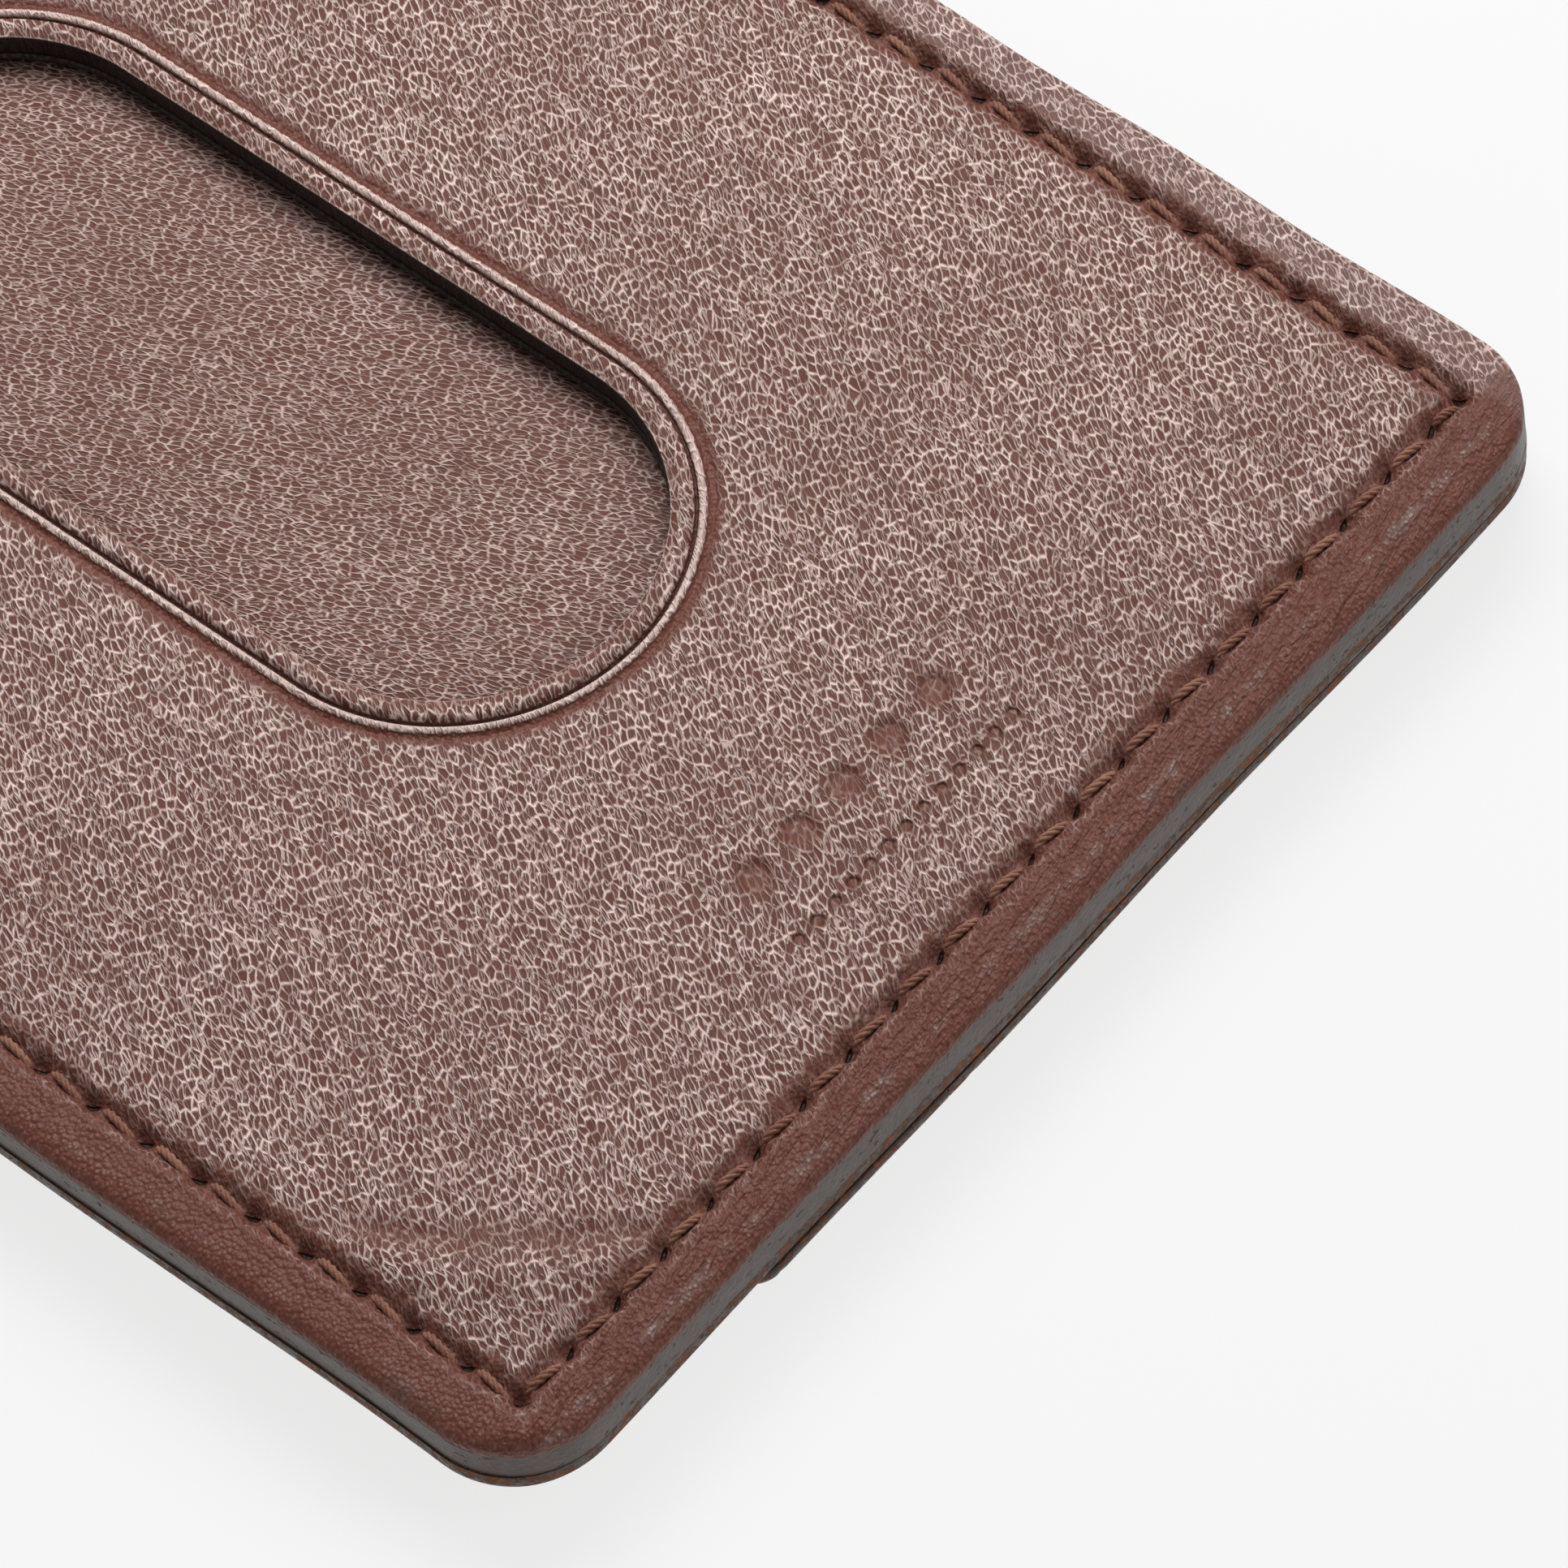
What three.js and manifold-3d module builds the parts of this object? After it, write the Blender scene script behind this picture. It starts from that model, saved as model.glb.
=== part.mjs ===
// Flat leather business card case: one sewn stack lying on its back.
// Millimetres, +Z out of the front face, +X towards the stitched short end, -X the front pocket's mouth.
// Origin: middle of the footprint, on the surface it lies on.
import * as THREE from 'three';
import { mergeVertices } from 'three/addons/utils/BufferGeometryUtils.js';
import Module from 'manifold-3d';

const wasm = await Module();
wasm.setup();

// ---- overall size
const LENGTH = 100;              // along X
const WIDTH = 72;                // along Y
const CORNER_R = 4.5;            // outer corners, in plan
const STITCH_MARGIN = 3.2;       // outer edge to seam line

// ---- leather and lining thicknesses
const T_FRONT = 1.2;
const T_LINING = 0.4;
const T_BACKING = 1.0;
const T_BASE = 0.9;
const T_STRIP = 0.9;
const T_POCKET = 0.9;
const T_TONGUE = 0.2;

// ---- room for cards
const CARD_GAP_FRONT = 0.8;
const CARD_GAP_REAR = 0.35;

// ---- thumb window
const WINDOW_LENGTH = 48.8;
const WINDOW_WIDTH = 19.6;
const RIM_WIDTH = 1.4;           // rolled band round the window
const RIM_RISE = 0.25;
const CREASE_WIDTH = 0.45;       // pressed line outside the rim
const CREASE_DEPTH = 0.2;
const RIM_ROUNDING = 0.63;       // how far the band's outer side rounds in at its top

// ---- forming of the leather
const FORM_START = 0.7;          // seam line to the foot of a formed field
const FORM_RUN = 1.6;            // width of the formed slope
const WALL_SHIFT = 0.25;         // a formed hollow starts this much further in than its outside
const SKIN_CLEARANCE = 0.1;      // slack between nested formed slopes
const SHOULDER_RUN = 1.0;        // rounding of a cut outer edge
const SHOULDER_RISE = 0.65;
const POCKET_SHOULDER_RUN = 0.5; // the same on the rear pocket panel
const POCKET_SHOULDER_RISE = 0.325;

// ---- rear slots
const SLOT_MOUTH = 15;           // -Y edge to the mouth of the first slot
const SLOT_STAGGER = 13;         // first mouth to second mouth
const SLOT_LAP = 5;              // strip running on under the pocket panel
const STRIP_NECK = 3;            // the lapped part is this much narrower at each end
const EAR_CORNER_R = 1.6;
const BUTT_GAP = 0.3;            // between the strip's ears and the pocket panel
const TONGUE_END = 23;           // Y of the tongue's lower edge
const TONGUE_FLAT = 6;           // part of the tongue lying on the base panel
const TONGUE_GLUE = 3;           // part of the tongue let into the strip
const TONGUE_SIDE = 3.4;         // foot of the formed field to the tongue's side
const TONGUE_LEAD = 0.5;         // level part of the tongue past the strip's lower edge
const TONGUE_THREAD_INSET = 1;   // end of the tongue's thread, in from the tongue's side
const THREAD_CLEARANCE = 0.02;   // slack between the tongue and its thread
const REBATE = 0.25;             // depth of the strip's rebate for the tongue

// ---- seams
const STITCH_PITCH = 3.175;
const THREAD_R = 0.34;
const THREAD_WAVE = 0.09;        // rise and dip of the thread at each stitch
const FINE_THREAD_R = 0.2;
const GROOVE_R = 0.56;
const SEAM_CORNER_R = 0.8;
const SEAM_END = 1.2;            // mouth-side edge to the end of the three-sided seam
const MOUTH_SEAM_END = 3.8;      // side seam to the end of the seam across the mouth end
const STEP_RUN = 1.1;            // half the length over which a rear seam steps down onto the strip
const INNER_THREAD_SINK = 0.12;  // the thread inside the front pocket lies this much lower
const STITCH_STEPS = 4;
const THREAD_ARC_STEPS = 3;      // an arc takes two sides per step: a six-sided thread

// ---- fineness of arcs
const CURVE_STEPS = 5;
const WINDOW_STEPS = 11;

// ---- heights, from the surface it lies on
const Z_BASE = T_POCKET + CARD_GAP_REAR + T_STRIP + CARD_GAP_REAR;
const Z_BACKING = Z_BASE + T_BASE;
const Z_LINING = Z_BACKING + T_BACKING;
const Z_FRONT = Z_LINING + T_LINING;
const Z_FLANGE_TOP = Z_FRONT + T_FRONT;
const Z_STRIP_FIELD = Z_BASE - CARD_GAP_REAR - T_STRIP;
const Z_EAR = Z_BASE - T_STRIP;
const TALL = 40;                 // longer than any cut needs

const HALF_L = LENGTH / 2;
const HALF_W = WIDTH / 2;
const SEAM_X = HALF_L - STITCH_MARGIN;
const SEAM_Y = HALF_W - STITCH_MARGIN;
const MOUTH_1 = -HALF_W + SLOT_MOUTH;
const MOUTH_2 = MOUTH_1 + SLOT_STAGGER;
const MOUTH_SEAM_Y = SEAM_Y - MOUTH_SEAM_END;

// ---- solids
function solid(geometry) {
  const bare = new THREE.BufferGeometry();
  bare.setAttribute('position', (geometry.index ? geometry.toNonIndexed() : geometry).getAttribute('position'));
  const merged = mergeVertices(bare, 1e-5);
  return new wasm.Manifold(new wasm.Mesh({
    numProp: 3,
    vertProperties: new Float32Array(merged.getAttribute('position').array),
    triVerts: new Uint32Array(merged.index.array),
  }));
}

function rectangle(x0, x1, y0, y1, r) {
  // r: corner radii at (x0,y0), (x1,y0), (x1,y1), (x0,y1)
  const [a, b, c, d] = r;
  const shape = new THREE.Shape();
  shape.moveTo(x0 + a, y0);
  shape.lineTo(x1 - b, y0);
  if (b) shape.absarc(x1 - b, y0 + b, b, -Math.PI / 2, 0, false);
  shape.lineTo(x1, y1 - c);
  if (c) shape.absarc(x1 - c, y1 - c, c, 0, Math.PI / 2, false);
  shape.lineTo(x0 + d, y1);
  if (d) shape.absarc(x0 + d, y1 - d, d, Math.PI / 2, Math.PI, false);
  shape.lineTo(x0, y0 + a);
  if (a) shape.absarc(x0 + a, y0 + a, a, Math.PI, Math.PI * 1.5, false);
  return shape;
}

function stadium(length, width) {
  const r = width / 2;
  const c = length / 2 - r;
  const shape = new THREE.Shape();
  shape.moveTo(-c, -r);
  shape.lineTo(c, -r);
  shape.absarc(c, 0, r, -Math.PI / 2, Math.PI / 2, false);
  shape.lineTo(-c, r);
  shape.absarc(-c, 0, r, Math.PI / 2, Math.PI * 1.5, false);
  return shape;
}

function plate(shape, z0, z1, curveSegments = CURVE_STEPS) {
  const geometry = new THREE.ExtrudeGeometry(shape, { depth: z1 - z0, bevelEnabled: false, curveSegments });
  geometry.translate(0, 0, z0);
  return solid(geometry);
}

function slab(x0, x1, y0, y1, z0, z1) {
  const geometry = new THREE.BoxGeometry(x1 - x0, y1 - y0, z1 - z0);
  geometry.translate((x0 + x1) / 2, (y0 + y1) / 2, (z0 + z1) / 2);
  return solid(geometry);
}

// A plate whose edge rounds inwards on one side: up (+1) or down (-1). shape is its widest outline.
function eased(shape, z0, z1, run, rise, side, curveSegments = CURVE_STEPS) {
  const geometry = new THREE.ExtrudeGeometry(shape, {
    depth: z1 - z0, bevelEnabled: true, bevelThickness: rise, bevelSize: run,
    bevelOffset: -run, bevelSegments: 3, curveSegments,
  });
  geometry.translate(0, 0, side > 0 ? z0 - rise : z0 + rise);
  return solid(geometry).intersect(slab(-TALL * 4, TALL * 4, -TALL * 4, TALL * 4, z0, z1));
}

function rod(p, q, r) {
  const from = new THREE.Vector3(...p);
  const to = new THREE.Vector3(...q);
  const along = to.clone().sub(from);
  const geometry = new THREE.CylinderGeometry(r, r, along.length() + r, 8, 1);
  geometry.rotateY(Math.PI / 8);
  geometry.applyQuaternion(new THREE.Quaternion().setFromUnitVectors(
    new THREE.Vector3(0, 1, 0), along.clone().normalize()));
  geometry.translate(...from.add(to).multiplyScalar(0.5).toArray());
  return solid(geometry);
}

function groove(points) {
  let cut = null;
  for (let i = 0; i + 1 < points.length; i++) {
    const piece = rod(points[i], points[i + 1], GROOVE_R);
    cut = cut ? cut.add(piece) : piece;
  }
  return cut;
}

// A thread along straight runs with small rounded corners, rising and dipping once a stitch.
function thread(points, r, cornerRadius) {
  const path = new THREE.CurvePath();
  const vectors = points.map((p) => new THREE.Vector3(...p));
  let start = vectors[0];
  for (let i = 1; i + 1 < vectors.length; i++) {
    const back = vectors[i - 1].clone().sub(vectors[i]).normalize().multiplyScalar(cornerRadius);
    const ahead = vectors[i + 1].clone().sub(vectors[i]).normalize().multiplyScalar(cornerRadius);
    const entry = vectors[i].clone().add(back);
    const exit = vectors[i].clone().add(ahead);
    path.add(new THREE.LineCurve3(start, entry));
    path.add(new THREE.QuadraticBezierCurve3(entry, vectors[i].clone(), exit));
    start = exit;
  }
  path.add(new THREE.LineCurve3(start, vectors.at(-1)));
  const stitches = Math.round(path.getLength() / STITCH_PITCH);
  const steps = stitches * STITCH_STEPS;
  const lifted = path.getSpacedPoints(steps).map((p, i) => {
    p.z -= THREAD_WAVE * Math.cos(2 * Math.PI * i / STITCH_STEPS);
    return p;
  });
  const curve = new THREE.CatmullRomCurve3(lifted);
  curve.arcLengthDivisions = steps * 4;
  const section = new THREE.Shape();
  section.absarc(0, 0, r, 0, Math.PI * 2, false);
  return solid(new THREE.ExtrudeGeometry(section, {
    steps, extrudePath: curve, curveSegments: THREAD_ARC_STEPS,
  }));
}

// ---- outlines
const EVEN = [CORNER_R, CORNER_R, CORNER_R, CORNER_R];
const outline = rectangle(-HALF_L, HALF_L, -HALF_W, HALF_W, EVEN);
const FORM_CORNER_R = CORNER_R - 1;   // corners of a formed field, in plan

// Plan of the front pocket's formed field: closed at +X and both sides, running out past the mouth.
function frontField(inset) {
  const x1 = SEAM_X - inset;
  const y1 = SEAM_Y - inset;
  return rectangle(-HALF_L - TALL / 2, x1, -y1, y1, [0, FORM_CORNER_R, FORM_CORNER_R, 0]);
}

// Plan of a rear field: closed at both ends, running out past its mouth at -Y.
function rearField(inset, y0, y1, corner) {
  const x1 = SEAM_X - inset;
  return rectangle(-x1, x1, y0, y1, [0, 0, corner, corner]);
}

// ---- seam routes
const frontRoute = [
  [-HALF_L + SEAM_END, -SEAM_Y, Z_FLANGE_TOP], [SEAM_X, -SEAM_Y, Z_FLANGE_TOP],
  [SEAM_X, SEAM_Y, Z_FLANGE_TOP], [-HALF_L + SEAM_END, SEAM_Y, Z_FLANGE_TOP],
];
const rearRoute = [
  [-HALF_L + SEAM_END, -SEAM_Y, Z_BASE], [SEAM_X, -SEAM_Y, Z_BASE],
  [SEAM_X, MOUTH_1 - STEP_RUN, Z_BASE], [SEAM_X, MOUTH_1 + STEP_RUN, Z_EAR],
  [SEAM_X, SEAM_Y, Z_EAR], [-HALF_L + SEAM_END, SEAM_Y, Z_EAR],
];
const mouthRearRoute = [
  [-SEAM_X, -MOUTH_SEAM_Y, Z_BASE], [-SEAM_X, MOUTH_1 - STEP_RUN, Z_BASE],
  [-SEAM_X, MOUTH_1 + STEP_RUN, Z_EAR], [-SEAM_X, MOUTH_SEAM_Y, Z_EAR],
];
const mouthInnerRoute = [
  [-SEAM_X, -MOUTH_SEAM_Y, Z_LINING - INNER_THREAD_SINK], [-SEAM_X, MOUTH_SEAM_Y, Z_LINING - INNER_THREAD_SINK],
];
const rearGroove = groove(rearRoute).add(groove(mouthRearRoute));

// ---- front panel: flange round three sides, raised field, rimmed window
function frontPanel() {
  const prism = plate(outline, Z_FRONT, TALL);
  const field = eased(frontField(FORM_START), Z_FRONT, Z_FLANGE_TOP + CARD_GAP_FRONT,
    FORM_RUN, CARD_GAP_FRONT, 1).intersect(prism);
  const top = Z_FLANGE_TOP + CARD_GAP_FRONT;
  const rim = eased(stadium(WINDOW_LENGTH + 2 * RIM_WIDTH, WINDOW_WIDTH + 2 * RIM_WIDTH),
    top - T_FRONT / 2, top + RIM_RISE, RIM_ROUNDING, RIM_RISE, 1, WINDOW_STEPS);
  const outer = WINDOW_LENGTH + 2 * (RIM_WIDTH + CREASE_WIDTH);
  const crease = plate(stadium(outer, outer - WINDOW_LENGTH + WINDOW_WIDTH), top - CREASE_DEPTH, TALL, WINDOW_STEPS);
  const hollow = eased(frontField(FORM_START + WALL_SHIFT), Z_FRONT - 1, Z_FRONT + CARD_GAP_FRONT,
    FORM_RUN, CARD_GAP_FRONT, 1);
  return eased(outline, Z_FRONT, Z_FLANGE_TOP, SHOULDER_RUN, SHOULDER_RISE, 1)
    .add(field)
    .subtract(crease)
    .add(rim)
    .subtract(hollow)
    .subtract(plate(stadium(WINDOW_LENGTH, WINDOW_WIDTH), 0, TALL, WINDOW_STEPS))
    .subtract(groove(frontRoute));
}

// ---- lining: follows the underside of the front panel
function frontLining() {
  const inset = FORM_START + WALL_SHIFT + SKIN_CLEARANCE;
  const skin = eased(frontField(inset), Z_LINING, Z_FRONT + CARD_GAP_FRONT, FORM_RUN, CARD_GAP_FRONT, 1)
    .intersect(plate(outline, Z_LINING, TALL));
  const hollow = eased(frontField(inset + WALL_SHIFT), Z_LINING - 1, Z_LINING + CARD_GAP_FRONT,
    FORM_RUN, CARD_GAP_FRONT, 1);
  return plate(outline, Z_LINING, Z_FRONT)
    .add(skin)
    .subtract(hollow)
    .subtract(plate(stadium(WINDOW_LENGTH, WINDOW_WIDTH), 0, TALL, WINDOW_STEPS));
}

// ---- rear slot strip: two ears in the side seams, a bowed middle, a rebate for its tongue
function rearSlotStrip() {
  const earEnd = MOUTH_2 - BUTT_GAP;
  const lapEnd = MOUTH_2 + SLOT_LAP;
  const ears = rectangle(-HALF_L, HALF_L, MOUTH_1, earEnd, [EAR_CORNER_R, EAR_CORNER_R, 0, 0]);
  const bow = eased(rearField(FORM_START, MOUTH_1 - TALL, lapEnd + TALL, 0),
    Z_STRIP_FIELD, Z_BASE, FORM_RUN, CARD_GAP_REAR, -1)
    .intersect(slab(-HALF_L, HALF_L, MOUTH_1, earEnd, 0, TALL));
  const neckX = SEAM_X - FORM_START - STRIP_NECK;
  const neck = slab(-neckX, neckX, MOUTH_1, lapEnd, Z_STRIP_FIELD, Z_STRIP_FIELD + T_STRIP);
  const hollow = eased(rearField(FORM_START + WALL_SHIFT, MOUTH_1 - TALL, lapEnd + TALL, 0),
    Z_BASE - CARD_GAP_REAR, Z_BASE + 1, FORM_RUN, CARD_GAP_REAR, -1);
  const rebate = slab(-neckX, neckX, lapEnd - TONGUE_GLUE, lapEnd + 1, Z_STRIP_FIELD - 1, Z_STRIP_FIELD + REBATE);
  return plate(ears, Z_BASE - T_STRIP, Z_BASE)
    .add(bow)
    .add(neck)
    .subtract(hollow)
    .subtract(rebate)
    .subtract(rearGroove);
}

// ---- tongue: thin split leather from the strip's lower edge to a stitched line on the base panel
function rearSlotTongue() {
  const zTop = Z_STRIP_FIELD + REBATE;
  const y0 = MOUTH_2 + SLOT_LAP - TONGUE_GLUE;
  const y1 = MOUTH_2 + SLOT_LAP + TONGUE_LEAD;
  const y2 = TONGUE_END - TONGUE_FLAT;
  const profile = new THREE.Shape();
  profile.moveTo(y0, zTop - T_TONGUE);
  profile.lineTo(y1, zTop - T_TONGUE);
  profile.lineTo(y2, Z_BASE - T_TONGUE);
  profile.lineTo(TONGUE_END, Z_BASE - T_TONGUE);
  profile.lineTo(TONGUE_END, Z_BASE);
  profile.lineTo(y2, Z_BASE);
  profile.lineTo(y1, zTop);
  profile.lineTo(y0, zTop);
  profile.closePath();
  const span = 2 * (SEAM_X - TONGUE_SIDE - FORM_START);
  const geometry = new THREE.ExtrudeGeometry(profile, { depth: span, bevelEnabled: false });
  // profile X, Y and depth become Y, Z and X
  geometry.applyMatrix4(new THREE.Matrix4().set(0, 0, 1, -span / 2, 1, 0, 0, 0, 0, 1, 0, 0, 0, 0, 0, 1));
  return solid(geometry);
}

// ---- rear pocket panel: sewn round three sides, mouth at -Y
function rearPocketPanel() {
  const flange = rectangle(-HALF_L, HALF_L, MOUTH_2, HALF_W, [0, 0, CORNER_R, CORNER_R]);
  const depth = Z_BASE - T_POCKET;
  const y1 = SEAM_Y - FORM_START;
  const bow = eased(rearField(FORM_START, MOUTH_2 - TALL / 2, y1, FORM_CORNER_R), 0, Z_BASE, FORM_RUN, depth, -1)
    .intersect(slab(-HALF_L, HALF_L, MOUTH_2, HALF_W, 0, TALL));
  const hollow = eased(rearField(FORM_START + WALL_SHIFT, MOUTH_2 - TALL / 2, y1 - WALL_SHIFT, FORM_CORNER_R),
    T_POCKET, Z_BASE + 1, FORM_RUN, depth, -1);
  return eased(flange, Z_BASE - T_POCKET, Z_BASE, POCKET_SHOULDER_RUN, POCKET_SHOULDER_RISE, -1)
    .add(bow)
    .subtract(hollow)
    .subtract(rearGroove);
}

const tongueThreadX = SEAM_X - TONGUE_SIDE - FORM_START - TONGUE_THREAD_INSET;
const tongueThreadY = TONGUE_END - TONGUE_FLAT / 2;
const tongueThreadZ = Z_BASE - T_TONGUE - FINE_THREAD_R - THREAD_WAVE - THREAD_CLEARANCE;

// ---- looks of the standalone example
const LEATHER = { color: 0x7a4a40, roughness: 0.6, metalness: 0 };
const BACKING = { color: 0x74453b, roughness: 0.7, metalness: 0 };
const LINING = { color: 0x6a2f26, roughness: 0.85, metalness: 0 };
const THREAD = { color: 0x8a4a2f, roughness: 0.75, metalness: 0 };

function node(name, body, look) {
  const mesh = body.getMesh();
  const geometry = new THREE.BufferGeometry();
  geometry.setAttribute('position', new THREE.BufferAttribute(new Float32Array(mesh.vertProperties), 3));
  geometry.setIndex(new THREE.BufferAttribute(new Uint32Array(mesh.triVerts), 1));
  geometry.computeVertexNormals();
  const result = new THREE.Mesh(geometry, new THREE.MeshStandardMaterial(look));
  result.name = name;
  return result;
}

const cardCase = new THREE.Group();
cardCase.name = 'business_card_case';
cardCase.add(
  node('front_panel', frontPanel(), LEATHER),
  node('front_lining', frontLining(), LINING),
  node('window_backing_panel',
    plate(outline, Z_BACKING, Z_LINING).subtract(groove(mouthInnerRoute)), BACKING),
  node('rear_base_panel', plate(outline, Z_BASE, Z_BACKING).subtract(rearGroove), LEATHER),
  node('rear_slot_strip', rearSlotStrip(), LEATHER),
  node('rear_slot_tongue', rearSlotTongue(), LINING),
  node('rear_pocket_panel', rearPocketPanel(), LEATHER),
  node('front_seam_thread', thread(frontRoute, THREAD_R, SEAM_CORNER_R), THREAD),
  node('rear_seam_thread', thread(rearRoute, THREAD_R, SEAM_CORNER_R), THREAD),
  node('mouth_seam_thread_rear', thread(mouthRearRoute, THREAD_R, SEAM_CORNER_R), THREAD),
  node('mouth_seam_thread_inner', thread(mouthInnerRoute, THREAD_R, SEAM_CORNER_R), THREAD),
  node('tongue_thread', thread([[-tongueThreadX, tongueThreadY, tongueThreadZ],
    [tongueThreadX, tongueThreadY, tongueThreadZ]], FINE_THREAD_R, SEAM_CORNER_R), THREAD),
);

export default cardCase;
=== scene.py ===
import math

import bmesh
import bpy
import numpy as np
from mathutils import Matrix, Vector


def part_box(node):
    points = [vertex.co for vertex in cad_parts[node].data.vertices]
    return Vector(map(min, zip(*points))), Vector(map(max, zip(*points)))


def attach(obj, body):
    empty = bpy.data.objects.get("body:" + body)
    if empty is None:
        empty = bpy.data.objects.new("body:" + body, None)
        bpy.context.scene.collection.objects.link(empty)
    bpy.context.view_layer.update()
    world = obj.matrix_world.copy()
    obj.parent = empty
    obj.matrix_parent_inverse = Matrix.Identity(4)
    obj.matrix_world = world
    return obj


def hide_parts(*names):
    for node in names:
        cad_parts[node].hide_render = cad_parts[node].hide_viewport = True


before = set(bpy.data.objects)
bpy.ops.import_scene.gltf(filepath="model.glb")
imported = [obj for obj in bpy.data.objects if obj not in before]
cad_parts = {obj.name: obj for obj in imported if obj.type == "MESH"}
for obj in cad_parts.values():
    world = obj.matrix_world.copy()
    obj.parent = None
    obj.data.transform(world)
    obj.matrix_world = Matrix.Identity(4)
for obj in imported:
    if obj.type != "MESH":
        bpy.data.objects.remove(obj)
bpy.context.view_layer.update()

bl_info = {
    "name": "Leather card case",
    "version": (1, 0, 0),
    "blender": (4, 5, 0),
    "location": "3D View > Sidebar > Card case",
    "description": "Builds a sewn leather card case with a thumb window round its packed parts",
    "category": "Add Mesh",
}

MM = 0.001

# ---- levels and places of the layers, in millimetres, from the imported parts
def node_box(name):
    low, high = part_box(name)
    return [c / MM for c in low], [c / MM for c in high]


FRONT_LOW, FRONT_HIGH = node_box("front_panel")
BACKING_LOW, BACKING_HIGH = node_box("window_backing_panel")
BASE_LOW, BASE_HIGH = node_box("rear_base_panel")
STRIP_LOW, STRIP_HIGH = node_box("rear_slot_strip")
TONGUE_LOW, TONGUE_HIGH = node_box("rear_slot_tongue")
POCKET_LOW, POCKET_HIGH = node_box("rear_pocket_panel")
FINE_LOW, FINE_HIGH = node_box("tongue_thread")

HALF_LENGTH = FRONT_HIGH[0]
HALF_WIDTH = FRONT_HIGH[1]
FRONT_THICK = 1.2
CORNER = 4.5
CORNER_RADII = (5.0, 4.8, CORNER, CORNER)   # four corners, two of them cut rounder
EDGE_R = 5.0                      # corners of the painted edge, in plan
MARGIN = 3.2                      # cut edge to seam line
SEAM_X = HALF_LENGTH - MARGIN
SEAM_Y = HALF_WIDTH - MARGIN
SEAM_START = -HALF_LENGTH + 1.2   # mouth end of the long seams
FLANGE_TOP = FRONT_LOW[2] + FRONT_THICK
FORM_RISE = 0.8                   # room for cards in the front pocket
FORM_START = 0.35                 # seam line to the foot of the formed field
FORM_RUN = 2.3
FOLD_X = 20.4                     # a fold across one corner of the field is part of a wide circle
FOLD_Y = 0.45
FOLD_R = 34.5
WINDOW_HALF = 14.6                # half of the straight part of the thumb window
WINDOW_R = 9.8
MOUTH_1 = STRIP_LOW[1]
MOUTH_2 = POCKET_LOW[1]
PITCH = 3.175                     # eight stitches to the inch
EAR_END = MOUTH_2 - 0.3
NECK_HALF = SEAM_X - 3.7
STRIP_THICK = 0.9
EAR_LOW = BASE_LOW[2] - STRIP_THICK
MOUTH_SEAM_END = 3.8
HOLE_SCATTER = 0.09               # needle holes are not quite on the line
INNER_SEAM_TOP = BACKING_HIGH[2] - 0.12


class CaseSizes(bpy.types.PropertyGroup):
    grain_length: bpy.props.FloatProperty(
        name="Grain length", description="Long way of one pore of the grain",
        default=0.00072, min=0.0001, subtype="DISTANCE", unit="LENGTH", precision=5)
    grain_width: bpy.props.FloatProperty(
        name="Grain width", description="Narrow way of one pore of the grain",
        default=0.00030, min=0.0001, subtype="DISTANCE", unit="LENGTH", precision=5)
    grain_depth: bpy.props.FloatProperty(
        name="Grain depth", description="Depth of the pores",
        default=0.00012, min=0.0, subtype="DISTANCE", unit="LENGTH", precision=6)
    thread: bpy.props.FloatProperty(
        name="Thread", description="Thickness of the three-ply thread",
        default=0.00047, min=0.0002, subtype="DISTANCE", unit="LENGTH", precision=5)
    fine_thread: bpy.props.FloatProperty(
        name="Fine thread", description="Thickness of the thread that holds the inner tongue",
        default=0.00023, min=0.0001, subtype="DISTANCE", unit="LENGTH", precision=5)
    slant: bpy.props.FloatProperty(
        name="Stitch slant", description="Lean of each stitch across the seam line",
        default=math.radians(9), subtype="ANGLE", unit="ROTATION")
    pull: bpy.props.FloatProperty(
        name="Stitch pull", description="How far the stitches draw the leather down",
        default=0.00033, min=0.0, subtype="DISTANCE", unit="LENGTH", precision=5)
    rim: bpy.props.FloatProperty(
        name="Rim rise", description="Height of the rolled band round the thumb window",
        default=0.00025, min=0.0, subtype="DISTANCE", unit="LENGTH", precision=5)


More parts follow.
